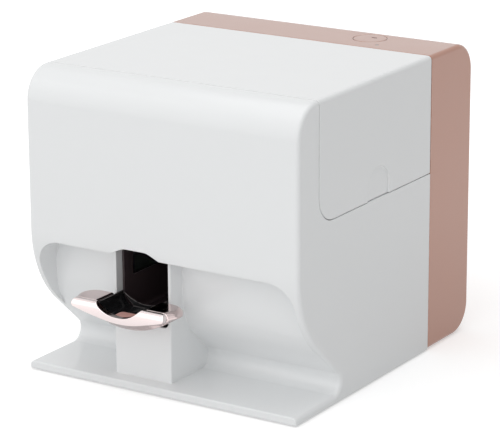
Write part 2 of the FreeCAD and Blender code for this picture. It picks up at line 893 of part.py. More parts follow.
lip = piece("finger_rest_lip")
over_dip = "dip_half * (rest_top_z + 1 - dip_keel_z) / (rest_top_z - dip_keel_z)"
add(lip, "XZ", "-reach - 1", rest_seam, [
    (lip_left, "rest_top_z + 1", "lip_end_round"),
    (lip_left, "lip_low_tip_z", "lip_low_round"),
    ("finger_x", "lip_keel_z", "keel_round"),
    (lip_right, "lip_low_tip_z", "lip_low_round"),
    (lip_right, "rest_top_z + 1", "lip_end_round"),
    (f"finger_x + {over_dip}", "rest_top_z + 1"),
    ("finger_x", "dip_keel_z", "dip_round"),
    (f"finger_x - {over_dip}", "rest_top_z + 1"),
])
lip_foot = "(-reach + lip_lean * (lip_break_z - lip_keel_z))"
cut(lip, "YZ", f"{lip_left} - 1", f"{lip_right} + 1", [
    (f"{rest_seam} + 1", "rest_top_z"),
    ("-reach", "rest_top_z", "lip_brow"),
    ("-reach", "lip_break_z", "lip_bend"),
    (lip_foot, "lip_keel_z"),
    ("-reach - 2", "lip_keel_z"),
    ("-reach - 2", "rest_top_z + 2"),
    (f"{rest_seam} + 1", "rest_top_z + 2"),
])

tray = piece("finger_tray")
tray_left, tray_right = about("finger_x", tray_half)
well_left, well_right = about("finger_x", f"{tray_half} - tray_skin")
well_floor = "(tray_floor + tray_skin)"
rim_half = f"({tray_half} - tray_skin + 0.2)"
tray_front = f"({rest_seam} + lip_gap)"
add(tray, "XZ", tray_front, "tray_end", [
    (tray_left, "tray_top"),
    (tray_left, "tray_floor", "tray_corner"),
    (tray_right, "tray_floor", "tray_corner"),
    (tray_right, "tray_top"),
    (well_right, "tray_top"),
    (well_right, well_floor, "tray_corner - tray_skin"),
    (well_left, well_floor, "tray_corner - tray_skin"),
    (well_left, "tray_top"),
])
for start, end in ((tray_front, f"{tray_front} + tray_skin"),
                   ("tray_end - tray_skin", "tray_end")):
    add(tray, "XZ", start, end, [
        (f"{well_left} - 0.2", "rim_side_z"),
        ("finger_x", f"rim_side_z - rim_slope * {rim_half}", f"rim_bend * {rim_half}"),
        (f"{well_right} + 0.2", "rim_side_z"),
        (f"{well_right} + 0.2", f"{well_floor} + tray_corner"),
        (f"{well_right} - tray_corner", f"{well_floor} - 0.2"),
        (f"{well_left} + tray_corner", f"{well_floor} - 0.2"),
        (f"{well_left} - 0.2", f"{well_floor} + tray_corner"),
    ])

pad = piece("finger_pad")
pad_left, pad_right = about("finger_x", f"{tray_half} - tray_corner - pad_inset")
add(pad, "XY", well_floor, f"{well_floor} + pad_thick",
    box(pad_left, "pad_front", pad_right, "pad_rear", "3"))

slider = piece("rest_slider")
slider_left, slider_right = about("finger_x", "slider_half")
add(slider, "XY", "slider_foot", "tray_floor",
    box(slider_left, "slider_front", slider_right, "slider_rear", "1"))
for side in ("-", "+"):
    drill(slider, "XY", "slider_foot - 1", "slider_bore_top",
          f"finger_x {side} guide_half", "guide_y", "guide_radius + guide_play")
drill(slider, "XY", "slider_foot - 1", "slider_foot + spring_seat",
      "finger_x", "guide_y", "spring_radius + spring_wire/2 + 0.2")

guides = piece("rest_guide_rods")
for side in ("-", "+"):
    rod(guides, "XY", "pedestal_floor", "guide_top",
        f"finger_x {side} guide_half", "guide_y", "guide_radius")


spring_low = "(pedestal_floor + 0.05)"
spring_high = "(slider_foot + spring_seat - spring_wire - 0.05)"


def coil_spring():
    """Square-wire spring, standing on its own origin."""
    tall = value(f"{spring_high} - {spring_low}")
    radius = value("spring_radius")
    path = Part.makeHelix(tall / value("spring_turns"), tall, radius)
    wire = value("spring_wire")
    across = FreeCAD.Vector(wire, 0, 0)
    up = FreeCAD.Vector(0, 0, wire)
    start = FreeCAD.Vector(radius - wire / 2, 0, 0)
    corners = [start, start + across, start + across + up, start + up, start]
    profile = Part.makePolygon(corners)
    return Part.Wire(path).makePipeShell([profile], True, True)


# between the pedestal's floor and the slider's seat
spring = doc.addObject("Part::Feature", "rest_spring")
spring.Label = "rest_spring"
spring.Shape = coil_spring()
pieces.append(spring)

# --------------------------------------------------------------- power button
# Flush disc in the coloured housing, with an inlaid mark; it presses a switch.
button = piece("power_button")
flange_top = f"({top_inside} - button_flange_gap)"
flange_low = f"({flange_top} - button_flange_thick)"
mark_left, mark_right = about("(button_x + mark_side)", "mark_long")
mark_front, mark_rear = about("(button_y + mark_ahead)", "mark_wide")
rod(button, "XY", flange_top, "height", "button_x", "button_y", "button_radius")
rod(button, "XY", flange_low, flange_top, "button_x", "button_y", "button_flange")
rod(button, "XY", "height - button_stem_drop", flange_low,
    "button_x", "button_y", "button_stem")
cut(button, "XY", "height - 1", "height + 1", box(
    mark_left, mark_front, mark_right, mark_rear))

mark = piece("button_mark")
add(mark, "XY", "height - 1", "height", box(
    mark_left, mark_front, mark_right, mark_rear))

lamp = piece("indicator_lamp")
board_top = "(height - panel_board_drop)"
rod(lamp, "XY", board_top, "height", "lamp_x", "lamp_y", "lamp_radius")

panel_board = piece("button_board")
add(panel_board, "XY", f"{board_top} - panel_board_thick", board_top, box(
    "panel_board_left", "panel_board_front", "panel_board_right", "panel_board_rear", "2"))

switch = piece("button_switch")
switch_left, switch_right = about("button_x", "switch_half")
switch_front, switch_rear = about("button_y", "switch_half")
add(switch, "XY", board_top, f"{board_top} + switch_tall",
    box(switch_left, switch_front, switch_right, switch_rear))
rod(switch, "XY", f"{board_top} + switch_tall",
    "height - button_stem_drop - button_travel - 0.1",
    "button_x", "button_y", "plunger_radius")

# -------------------------------------------------------------------- chassis
# Folded sheet: floor, two side plates with a window each, rear plate.
chassis = piece("chassis")
sheet_low = pan_top
chassis_half = f"({inside} - chassis_gap)"
sheet_in = f"({chassis_half} - sheet_thick)"
add(chassis, "XZ", "chassis_front", "chassis_rear", [
    (f"-{chassis_half}", "chassis_side_top"),
    (f"-{chassis_half}", sheet_low),
    (chassis_half, sheet_low),
    (chassis_half, "chassis_side_top"),
    (sheet_in, "chassis_side_top"),
    (sheet_in, f"{sheet_low} + sheet_thick"),
    (f"-{sheet_in}", f"{sheet_low} + sheet_thick"),
    (f"-{sheet_in}", "chassis_side_top"),
])
add(chassis, "XZ", "chassis_rear - sheet_thick", "chassis_rear",
    box(f"-{chassis_half}", sheet_low, chassis_half, "chassis_rear_top"))
cut(chassis, "YZ", f"-{chassis_half} - 1", f"{chassis_half} + 1",
    box("chassis_front + 16", "22", "chassis_rear - 16", "88", "8"))
cut(chassis, "XZ", "chassis_rear - sheet_thick - 1", "chassis_rear + 1",
    box("-44", "24", "84", "104", "8"))
cut(chassis, "XY", f"{sheet_low} - 1", f"{sheet_low} + sheet_thick + 1",
    box("-60", "92", "20", "152", "8"))
drill(chassis, "XZ", "chassis_rear - sheet_thick - 1", "chassis_rear + 1",
      "screw_x", "rail_z", "screw_radius + 1")

blocks = piece("rail_blocks")
for side in (1, -1):
    sign = "" if side > 0 else "-"
    near_side, far_side = ("rail_x - 5", sheet_in) if side > 0 else (
        f"-{sheet_in}", "-rail_x + 5")
    for start, end in (("rail_front", "rail_front + block_long"),
                       ("rail_rear - block_long", "rail_rear")):
        add(blocks, "XZ", start, end, box(
            near_side, "rail_z - block_half", far_side, "chassis_side_top"))
        drill(blocks, "XZ", start, end, f"{sign}rail_x", "rail_z",
              "rail_radius + seat_play")

rails = piece("gantry_rails")
for sign in ("-", ""):
    rod(rails, "XZ", "rail_front", "rail_rear", f"{sign}rail_x", "rail_z", "rail_radius")

motor = piece("gantry_motor")
motor_face = "(chassis_rear + flange_thick)"
motor_left, motor_right = about("screw_x", "motor_radius + 1")
motor_low, motor_high = about("rail_z", "motor_radius + 1")
add(motor, "XZ", "chassis_rear", motor_face,
    box(motor_left, motor_low, motor_right, motor_high, "3"))
rod(motor, "XZ", motor_face, f"{motor_face} + motor_long",
    "screw_x", "rail_z", "motor_radius")
drill(motor, "XZ", "chassis_rear - 1", f"{motor_face} + 8", "screw_x", "rail_z",
      "screw_radius + running")

lead_screw = piece("lead_screw")
rod(lead_screw, "XZ", "screw_front", f"{motor_face} + 6", "screw_x", "rail_z",
    "screw_radius")

# --------------------------------------------------------------------- gantry
# Beam across the printer that runs on the rails; it carries shafts, belt and motor.
beam_rear = "(beam_y + beam_thick)"
cheek_in = "(beam_half - beam_thick)"
gantry = piece("gantry_frame")
add(gantry, "XZ", "beam_y", beam_rear,
    box("-beam_half", "beam_low", "beam_half", "beam_top"))
for side in (1, -1):
    sign = "" if side > 0 else "-"
    plate = (cheek_in, "beam_half") if side > 0 else ("-beam_half", f"-{cheek_in}")
    boss = ("beam_half", "boss_out") if side > 0 else ("-boss_out", "-beam_half")
    add(gantry, "YZ", plate[0], plate[1], box(
        "cheek_front", "beam_low", "cheek_rear", "beam_top", "5"))
    add(gantry, "YZ", boss[0], boss[1], box(
        "cheek_front", "rail_z - boss_half", "cheek_rear", "rail_z + boss_half"))
    drill(gantry, "XZ", "cheek_front - 1", "cheek_rear + 1", f"{sign}rail_x", "rail_z",
          "bush_radius + seat_play")
for height, radius in (("shaft_low_z", "shaft_low_radius"),
                       ("shaft_top_z", "shaft_top_radius")):
    drill(gantry, "YZ", "-beam_half - 1", "beam_half + 1", "shaft_y", height,
          f"{radius} + seat_play")
drill(gantry, "XZ", "beam_y - 1", f"{beam_rear} + 1", "screw_x", "rail_z", "nut_radius")
drill(gantry, "XZ", "beam_y - 1", f"{beam_rear} + 1", "drive_x", "pulley_z", "3")
drill(gantry, "XZ", "beam_y - 1", f"{beam_rear} + 1", "idle_x", "pulley_z",
      "idle_pin + seat_play")
for left, right in (("-44", "-10"), ("2", "36")):
    cut(gantry, "XZ", "beam_y - 1", f"{beam_rear} + 1",
        box(left, "beam_low + 14", right, "beam_top - 14", "6"))

bushings = piece("gantry_bushings")
for sign in ("-", ""):
    for start, end in (("cheek_front", "cheek_front + bush_long"),
                       ("cheek_rear - bush_long", "cheek_rear")):
        rod(bushings, "XZ", start, end, f"{sign}rail_x", "rail_z",
            "bush_radius", "rail_radius + running")

shafts = piece("carriage_shafts")
for height, radius in (("shaft_low_z", "shaft_low_radius"),
                       ("shaft_top_z", "shaft_top_radius")):
    rod(shafts, "YZ", "-beam_half", "beam_half", "shaft_y", height, radius)

nut = piece("lead_nut")
rod(nut, "XZ", beam_rear, f"{beam_rear} + 2.5", "screw_x", "rail_z",
    "nut_flange", "screw_radius + running")
rod(nut, "XZ", f"{beam_rear} + 2.5", f"{beam_rear} + nut_long", "screw_x", "rail_z",
    "nut_radius", "screw_radius + running")

x_motor = piece("carriage_motor")
rod(x_motor, "XZ", beam_rear, f"{beam_rear} + motor_long", "drive_x", "pulley_z",
    "x_motor_radius")
drill(x_motor, "XZ", f"{beam_rear} - 1", f"{beam_rear} + 6", "drive_x", "pulley_z",
      "drive_shaft + running")

pulley_rear = "(pulley_front + pulley_long)"


def pulley(name, across, bore):
    """Flanged belt pulley."""
    body = piece(name)
    for start, end, radius in (
            ("pulley_front", "pulley_front + pulley_rim", "pulley_flange"),
            ("pulley_front + pulley_rim", f"{pulley_rear} - pulley_rim", "pulley_radius"),
            (f"{pulley_rear} - pulley_rim", pulley_rear, "pulley_flange")):
        rod(body, "XZ", start, end, across, "pulley_z", radius, bore)
    return body


drive_pulley = pulley("drive_pulley", "drive_x", None)
rod(drive_pulley, "XZ", pulley_rear, f"{beam_rear} + 5", "drive_x", "pulley_z",
    "drive_shaft")
pulley("idler_pulley", "idle_x", "idle_pin + running")

axle = piece("idler_pin")
rod(axle, "XZ", "pulley_front - 0.8", beam_rear, "idle_x", "pulley_z", "idle_pin")
rod(axle, "XZ", "pulley_front - 1.8", "pulley_front - 0.8", "idle_x", "pulley_z",
    "idle_pin + 1.2")

belt_in = "(pulley_radius + belt_gap)"
belt_out = f"({belt_in} + belt_thick)"
belt = piece("carriage_belt")
add(belt, "XZ", "belt_front", "belt_front + belt_wide",
    box(f"idle_x - {belt_out}", f"pulley_z - {belt_out}", f"drive_x + {belt_out}",
        f"pulley_z + {belt_out}", f"{belt_out} - 0.02"),
    box(f"idle_x - {belt_in}", f"pulley_z - {belt_in}", f"drive_x + {belt_in}",
        f"pulley_z + {belt_in}", f"{belt_in} - 0.02"))

strip = piece("encoder_strip")
add(strip, "XZ", "strip_y", "strip_y + strip_thick",
    box(f"-{cheek_in}", "strip_low", cheek_in, "strip_top"))

# ------------------------------------------------------- carriage and cartridge
carriage_left, carriage_right = about("park_x", "carriage_half")
nest_left, nest_right = about("park_x", "carriage_half - carriage_wall")
nest_floor = "(carriage_low + carriage_wall)"
carriage = piece("print_carriage")
add(carriage, "YZ", carriage_left, carriage_right, [
    ("carriage_front", "carriage_low"),
    ("carriage_rear", "carriage_low"),
    ("carriage_rear", "carriage_top"),
    ("carriage_rear - 10", "carriage_top", "3"),
    ("carriage_rear - 14", "carriage_front_top + 6", "8"),
    ("carriage_front", "carriage_front_top - 4", "6"),
])
cut(carriage, "XY", nest_floor, "carriage_top + 1",
    box(nest_left, "carriage_front + carriage_wall", nest_right,
        "carriage_rear - carriage_wall"))
snout_left, snout_right = about("park_x", "snout_half + bay_gap")
cut(carriage, "XY", "carriage_low - 1", f"{nest_floor} + 1",
    box(snout_left, "snout_front - bay_gap", snout_right, "snout_rear + bay_gap"))
for height, radius in (("shaft_low_z", "collar_low"), ("shaft_top_z", "collar_top")):
    add(carriage, "YZ", carriage_left, carriage_right, box(
        "carriage_rear - 1", f"{height} - {radius}", "shaft_y", f"{height} + {radius}"))
    rod(carriage, "YZ", carriage_left, carriage_right, "shaft_y", height, radius)
drill(carriage, "YZ", f"{carriage_left} - 1", f"{carriage_right} + 1", "shaft_y",
      "shaft_low_z", "carriage_bush + seat_play")
drill(carriage, "YZ", f"{carriage_left} - 1", f"{carriage_right} + 1", "shaft_y",
      "shaft_top_z", "shaft_top_radius + running")
drill(carriage, "YZ", f"{carriage_left} - 1", f"{carriage_right} + 1", "latch_y",
      "latch_z", "latch_pin + seat_play")

carriage_bushes = piece("carriage_bushings")
for start, end in ((carriage_left, f"{carriage_left} + carriage_bush_long"),
                   (f"{carriage_right} - carriage_bush_long", carriage_right)):
    rod(carriage_bushes, "YZ", start, end, "shaft_y", "shaft_low_z",
        "carriage_bush", "shaft_low_radius + running")

clamp = piece("belt_clamp")
clamp_left, clamp_right = about("park_x", "5")
run_z = f"(pulley_z - {belt_out})"
add(clamp, "YZ", clamp_left, clamp_right, [
    ("carriage_rear", f"{run_z} - 2.5"),
    ("belt_front + belt_wide + 0.3", f"{run_z} - 2.5"),
    ("belt_front + belt_wide + 0.3", f"{run_z} - 0.3"),
    ("belt_front - 0.3", f"{run_z} - 0.3"),
    ("belt_front - 0.3", f"{run_z} + belt_thick + 0.3"),
    ("belt_front + belt_wide + 0.3", f"{run_z} + belt_thick + 0.3"),
    ("belt_front + belt_wide + 0.3", f"{run_z} + 3.5"),
    ("carriage_rear", f"{run_z} + 3.5"),
])

cartridge = piece("ink_cartridge")
ink_left, ink_right = about("park_x", "carriage_half - carriage_wall - bay_gap")
ink_front = "(carriage_front + carriage_wall + bay_gap)"
ink_rear = "(carriage_rear - carriage_wall - bay_gap)"
ink_low = f"({nest_floor} + 0.3)"
add(cartridge, "YZ", ink_left, ink_right, [
    (ink_front, ink_low, "1.5"),
    (ink_rear, ink_low, "1.5"),
    (ink_rear, "cartridge_top", "3"),
    (f"{ink_front} + 12", "cartridge_top", "5"),
    (ink_front, "cartridge_front_top", "5"),
])
snout_l, snout_r = about("park_x", "snout_half")
nozzle_top = "(nozzle_z + nozzle_thick)"
add(cartridge, "XY", nozzle_top, f"{ink_low} + 1",
    box(snout_l, "snout_front", snout_r, "snout_rear", "2"))
for place in ("0", "4", "8"):
    cut(cartridge, "XZ", f"{ink_front} + 20 + {place}", f"{ink_front} + 21.5 + {place}",
        box("park_x - 12", "cartridge_top - 0.8", "park_x + 12", "cartridge_top + 1"))

nozzle = piece("nozzle_plate")
nozzle_left, nozzle_right = about("park_x", "nozzle_half")
add(nozzle, "XY", "nozzle_z", nozzle_top,
    box(nozzle_left, "snout_front + 2", nozzle_right, "snout_rear - 2", "1"))

latch = piece("cartridge_latch")
latch_left, latch_right = about("park_x", "latch_half")
latch_low = "(latch_z - latch_thick/2)"
add(latch, "YZ", latch_left, latch_right, [
    ("latch_y", f"{latch_low}"),
    ("latch_y", f"{latch_low} + latch_thick"),
    (f"{ink_front} - 7", f"{latch_low} + latch_thick"),
    (f"{ink_front} - 7", latch_low),
    (f"{ink_front} + 9", latch_low),
    (f"{ink_front} + 12", "cartridge_top + 0.3"),
    (f"{ink_front} + 24", "cartridge_top + 0.3"),
    (f"{ink_front} + 27", latch_low),
])
rod(latch, "YZ", f"{nest_left} + 0.4", f"{nest_right} - 0.4", "latch_y", "latch_z",
    "latch_barrel")
drill(latch, "YZ", f"{nest_left} - 1", f"{nest_right} + 1", "latch_y", "latch_z",
      "latch_pin + running")

latch_pin = piece("latch_pin")
rod(latch_pin, "YZ", carriage_left, carriage_right, "latch_y", "latch_z", "latch_pin")

camera = piece("nail_camera")
camera_front, camera_back = about("camera_y", "camera_half")
add(camera, "YZ", f"{carriage_left} - camera_deep", carriage_left, box(
    camera_front, "camera_low", camera_back, "camera_low + camera_tall", "1"))
rod(camera, "XY", "camera_low - 4", "camera_low",
    f"{carriage_left} - camera_deep/2", "camera_y", "lens_radius")

# ------------------------------------------------------------ service station
station = piece("service_station")
floor_top = f"({sheet_low} + sheet_thick)"
station_left, station_right = about("park_x", "station_half")
add(station, "XY", floor_top, "station_top",
    box(station_left, "station_front", station_right, "station_rear", "3"))
cut(station, "XY", f"{floor_top} + 6", "station_top + 1",
    box(f"{station_left} + 2", "station_front + 2", f"{station_right} - 2",
        "station_rear - 2", "1.5"))
cap_left, cap_right = about("park_x", "cap_half")
add(station, "XY", f"{floor_top} + 5", "station_top",
    box(f"{cap_left} - 2", "cap_front - 2", f"{cap_right} + 2", "cap_rear + 2", "2"))
add(station, "XZ", "cap_front", "cap_rear", box(
    "wiper_x - 2", "station_top - 8", f"{station_left} + 1", "station_top - 2"))

seal = piece("cap_seal")
cap_top = "(nozzle_z - cap_gap)"
add(seal, "XY", "station_top", cap_top,
    box(cap_left, "cap_front", cap_right, "cap_rear", "3"))
cut(seal, "XY", "station_top + cap_base", f"{cap_top} + 1",
    box(f"{cap_left} + 1.5", "cap_front + 1.5", f"{cap_right} - 1.5", "cap_rear - 1.5",
        "1.5"))

wiper = piece("wiper_blade")
wiper_left, wiper_right = about("wiper_x", "wiper_thick/2")
add(wiper, "XZ", "cap_front + 2", "cap_rear - 2", box(
    wiper_left, "station_top - 2", wiper_right, f"{cap_top} - 0.1"))

# ---------------------------------------------------------------- electronics
board = piece("main_board")
board_rear = "(board_y + board_thick)"
add(board, "XZ", "board_y", board_rear,
    box("board_left", "board_low", "board_right", "board_top", "2"))

standoffs = piece("board_standoffs")
for across in ("board_left + 6", "board_right - 6"):
    for up in ("board_low + 6", "board_top - 6"):
        rod(standoffs, "XZ", board_rear, "body_depth - wall", across, up,
            "standoff_radius")

chips = piece("board_chips")
for left, low, wide, tall, deep in (
        ("20", "70", "18", "18", "1.8"), ("52", "74", "11", "16", "1.6"),
        ("-6", "78", "10", "8", "1.5"), ("60", "50", "8", "8", "3")):
    add(chips, "XZ", f"board_y - {deep}", "board_y",
        box(left, low, f"{left} + {wide}", f"{low} + {tall}"))

plugs = piece("board_plugs")
for left, wide in (("-8", "22"), ("20", "16"), ("44", "12"), ("64", "16")):
    add(plugs, "XZ", "board_y - 6", "board_y",
        box(left, "board_top - 16", f"{left} + {wide}", "board_top - 10"))

inlet = piece("power_inlet")
inlet_left, inlet_right = about("inlet_x", "inlet_half")
inlet_low, inlet_high = about("inlet_z", "inlet_half")
add(inlet, "XZ", "body_depth - wall - 12", "body_depth - wall",
    box(inlet_left, inlet_low, inlet_right, inlet_high, "1"))
rod(inlet, "XZ", "body_depth - wall", "body_depth - 0.3", "inlet_x", "inlet_z",
    "inlet_radius")
drill(inlet, "XZ", "body_depth - wall - 9", "body_depth + 1", "inlet_x", "inlet_z",
      "2.9")
rod(inlet, "XZ", "body_depth - wall - 9.5", "body_depth - wall - 1", "inlet_x",
    "inlet_z", "1")

cover_switch = piece("cover_switch")
switch_in = f"({inside} - ledge_thick)"
add(cover_switch, "XZ", "cover_front - 3", "cover_front + ledge_out - 0.5", box(
    f"{switch_in} - 6", "150", switch_in, "166"))
add(cover_switch, "YZ", f"{switch_in} - 4.5", f"{switch_in} - 1.5", [
    ("cover_front + 3", "152"),
    ("cover_front + 7", "163"),
    ("cover_front + 7", "164"),
    ("cover_front + 3", "154"),
])

# ----------------------------------------------------- placement, tests, files
for item in pieces:
    item.setExpression("Placement.Base.y", bind("(reach - body_depth) / 2"))
    item.setExpression("Placement.Base.z", bind("foot_drop"))
spring.setExpression("Placement.Base.x", bind("finger_x"))
spring.setExpression("Placement.Base.y", bind("(reach - body_depth) / 2 + guide_y"))
spring.setExpression("Placement.Base.z", bind(f"foot_drop + {spring_low}"))
doc.recompute()

for item in doc.Objects:
    if "Invalid" in item.State or "Error" in item.State:
        raise RuntimeError(f"{item.Name} of {item.getParentGeoFeatureGroup()} failed")
for item in pieces:
    steps = [f for f in getattr(item, "Group", []) if hasattr(f, "Shape")]
    for step in steps:
        base = getattr(step, "BaseFeature", None)
        if base is None:
            continue
        change = step.Shape.Volume - base.Shape.Volume
        grows = step.TypeId == "PartDesign::Pad"
        shrinks = step.TypeId == "PartDesign::Pocket"
        if (grows and change < 1e-6) or (shrinks and change > -1e-6):
            raise RuntimeError(f"{step.Name} in {item.Label} changes nothing")
for item in pieces:
    if item.Shape.isNull() or not item.Shape.isValid():
        raise RuntimeError(f"{item.Label} has no valid shape")

os.makedirs("parts", exist_ok=True)
for item in pieces:
    item.Shape.exportStep(f"parts/{item.Label}.step")
    bounds = item.Shape.BoundBox
    print(f"{item.Label:20s} {len(item.Shape.Solids)} solids"
          f"  x {bounds.XMin:7.1f} {bounds.XMax:7.1f}"
          f"  y {bounds.YMin:7.1f} {bounds.YMax:7.1f}"
          f"  z {bounds.ZMin:6.1f} {bounds.ZMax:6.1f}")
print(len(pieces), "pieces")
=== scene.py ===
# %% [markdown]
# # A nail printer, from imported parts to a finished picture
#
# The printer is a white moulded case with an S-shaped front. A finger goes into a slot
# in a short pedestal, over a small chromed rest, and a print carriage inside paints the
# nail. A lid on top opens so that the cartridge can be changed.
#
# The construction is already there, as closed meshes at their real size. This lesson
# gives each piece its finish: rounded edges that catch the light, moulded plastic,
# chrome, ground steel and rubber, and then a small studio to look at it all.

# %% Load the construction
import json
import math

import bmesh
import bpy
from mathutils import Matrix, Vector

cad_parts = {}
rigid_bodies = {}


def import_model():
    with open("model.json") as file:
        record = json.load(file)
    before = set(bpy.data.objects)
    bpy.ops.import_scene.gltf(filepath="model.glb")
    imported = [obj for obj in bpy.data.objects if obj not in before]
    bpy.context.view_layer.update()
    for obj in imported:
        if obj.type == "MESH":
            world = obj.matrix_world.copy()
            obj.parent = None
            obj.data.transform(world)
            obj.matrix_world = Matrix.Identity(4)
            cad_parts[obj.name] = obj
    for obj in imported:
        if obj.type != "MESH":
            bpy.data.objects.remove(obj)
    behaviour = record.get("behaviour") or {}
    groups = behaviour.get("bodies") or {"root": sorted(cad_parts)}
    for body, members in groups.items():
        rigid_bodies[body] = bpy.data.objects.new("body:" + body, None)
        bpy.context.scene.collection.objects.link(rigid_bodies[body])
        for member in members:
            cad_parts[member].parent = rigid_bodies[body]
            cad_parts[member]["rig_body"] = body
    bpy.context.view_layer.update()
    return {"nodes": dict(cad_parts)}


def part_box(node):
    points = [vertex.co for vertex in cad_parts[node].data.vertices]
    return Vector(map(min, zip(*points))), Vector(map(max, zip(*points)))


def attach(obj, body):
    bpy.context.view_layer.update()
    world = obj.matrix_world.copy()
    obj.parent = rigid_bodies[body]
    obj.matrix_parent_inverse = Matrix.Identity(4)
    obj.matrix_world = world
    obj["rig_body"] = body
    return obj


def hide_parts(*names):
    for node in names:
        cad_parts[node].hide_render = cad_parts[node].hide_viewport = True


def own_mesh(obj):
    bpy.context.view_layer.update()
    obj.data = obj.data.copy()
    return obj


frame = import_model()
mm = 0.001

# %% [markdown]
# ## Rounded edges
#
# A mesh that comes from a construction program is a heap of loose triangles with
# knife-sharp edges. A real moulding has none: every edge is rounded a few tenths of a
# millimetre, and that thin strip is what shines. So each piece is copied, its corners
# are merged, its flat faces are joined up, and its sharp edges are bevelled. A face with
# an opening in it, such as the rim of a slot, can't be one polygon, so joined faces are
# split again wherever they are hollow. A Bevel modifier could round the edges too, but
# the operator also returns the strips that it makes. They are marked in an attribute,
# so that a material can find them.

# %% A copy with rounded edges
EDGE_MARK = "rounded_edge"
SHARP = math.radians(32)
FLAT = math.radians(0.3)
SAME_PLACE = 0.001 * mm


def merged_mesh(node):
    """The mesh of one construction piece, with merged corners and whole flat faces."""
    mesh = bmesh.new()
    mesh.from_mesh(frame["nodes"][node].data)
    bmesh.ops.remove_doubles(mesh, verts=mesh.verts, dist=SAME_PLACE)
    bmesh.ops.dissolve_limit(mesh, angle_limit=FLAT, verts=mesh.verts, edges=mesh.edges)
    bmesh.ops.connect_verts_concave(mesh, faces=mesh.faces)
    return mesh


def round_edges(mesh, width, steps=2):
    """Bevel the sharp edges and mark the strips that this makes."""
    mark = mesh.faces.layers.float.new(EDGE_MARK)
    sharp = [e for e in mesh.edges if e.calc_face_angle(0) > SHARP]
    made = bmesh.ops.bevel(
        mesh, geom=sharp, offset=width, offset_type="OFFSET", segments=steps,
        profile=0.5, affect="EDGES", clamp_overlap=False, material=-1)
    for face in made["faces"]:
        face[mark] = 1.0


def body_of(node):
    """The name of the moving body that carries a construction piece."""
    return frame["nodes"][node]["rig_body"]


def order_faces(mesh):
    """Sort the faces by their three lowest corners, so that each run gives one order."""
    # some operators list what they make by its place in memory, which differs by run
    count = len(mesh.verts)
    mesh.verts.index_update()

    def place(face):
        first, second, third = sorted(v.index for v in face.verts)[:3]
        return (first * count + second) * count + third

    mesh.faces.sort(key=place)


def finished(mesh, name, material, node):
    """Turn a bmesh into a smooth-shaded object that stands for a construction piece."""
    order_faces(mesh)
    for face in mesh.faces:
        face.smooth = True
    for edge in mesh.edges:
        edge.smooth = edge.calc_face_angle(0) < SHARP
    data = bpy.data.meshes.new(name)
    mesh.to_mesh(data)
    mesh.free()
    data.materials.append(material)
    piece = bpy.data.objects.new(name, data)
    bpy.context.scene.collection.objects.link(piece)
    normals = piece.modifiers.new("even_shading", "WEIGHTED_NORMAL")
    normals.keep_sharp = True
    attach(piece, body_of(node))
    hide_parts(node)
    return piece


def dress(node, material, width=0.0, steps=2):
    """Finished copy of a construction piece, with edges rounded by a width in metres."""
    mesh = merged_mesh(node)
    if width:
        round_edges(mesh, width, steps)
    piece = finished(mesh, node + ".finished", material, node)
    print(piece.name, len(piece.data.polygons), "faces,", material.name)
    return piece


# %% [markdown]
# ## Shared surface effects
#
# Nothing that is moulded, painted or ground is perfectly even. Three small node groups
# hold the effects that many finishes share: a moulded skin, with faint mottling, uneven
# gloss and a fine texture; ground lines, which are a noise stretched along one axis; and
# edge wear and highlight, which lightens the strips that the bevel left: wear, and on
# the black plastics a painted highlight along the rims. Each finish then uses them with
# its own numbers. The same nodes could be laid out again in every material, but then
# one change to the skin would have to be made fifteen times.

# %% Helpers for nodes
FLOAT, COLOR, VECTOR = "NodeSocketFloat", "NodeSocketColor", "NodeSocketVector"
VECTOR_MATH = "ShaderNodeVectorMath"
# where a Mix node keeps its two inputs and its result, for each kind of value
MIX_SOCKETS = {"FLOAT": (2, 3, 0), "RGBA": (6, 7, 2)}


def feed(tree, socket, value):
    """Link another node's output to an input, or set the input to a plain value."""
    if isinstance(value, bpy.types.NodeSocket):
        tree.links.new(value, socket)
    else:
        socket.default_value = value


def add_node(tree, kind, **settings):
    """New node; a setting that names one of its inputs feeds that input."""
    node = tree.nodes.new(kind)
    for key, value in settings.items():
        label = key.replace("_", " ")
        if label in node.inputs:
            feed(tree, node.inputs[label], value)
        else:
            setattr(node, key, value)
    return node


def work_out(tree, operation, *values, kind="ShaderNodeMath", **settings):
    """Result of a math node whose inputs are fed in their order."""
    node = add_node(tree, kind, operation=operation, **settings)
    for socket, value in zip(node.inputs, values):
        feed(tree, socket, value)
    return node.outputs[0]


def mixed(tree, kind, mask, first, second):
    """Result of a Mix node that goes from one value to another by a mask."""
    node = add_node(tree, "ShaderNodeMix", data_type=kind, Factor=mask)
    first_place, second_place, result_place = MIX_SOCKETS[kind]
    feed(tree, node.inputs[first_place], first)
    feed(tree, node.inputs[second_place], second)
    return node.outputs[result_place]


def object_place(tree):
    """The point's place on the piece, in metres."""
    return add_node(tree, "ShaderNodeTexCoord").outputs["Object"]


def noise(tree, place, **settings):
    """Value of a noise texture at a place, about 0.5."""
    return add_node(tree, "ShaderNodeTexNoise", Vector=place, **settings).outputs["Fac"]


# %% Helpers for node groups
def new_group(name, inputs, outputs):
    """Empty shader node group with named sockets; returns it with its two ends."""
    group = bpy.data.node_groups.new(name, "ShaderNodeTree")
    for label, kind, value in inputs:
        socket = group.interface.new_socket(label, in_out="INPUT", socket_type=kind)
        socket.default_value = value
    for label, kind in outputs:
        group.interface.new_socket(label, in_out="OUTPUT", socket_type=kind)
    start = group.nodes.new("NodeGroupInput")
    end = group.nodes.new("NodeGroupOutput")
    print("node group", name)
    return group, start.outputs, end.inputs


def place_group(tree, group, values):
    """A node group placed in a tree with its own values."""
    node = add_node(tree, "ShaderNodeGroup", node_tree=group)
    for label, value in values.items():
        feed(tree, node.inputs[label], value)
    return node


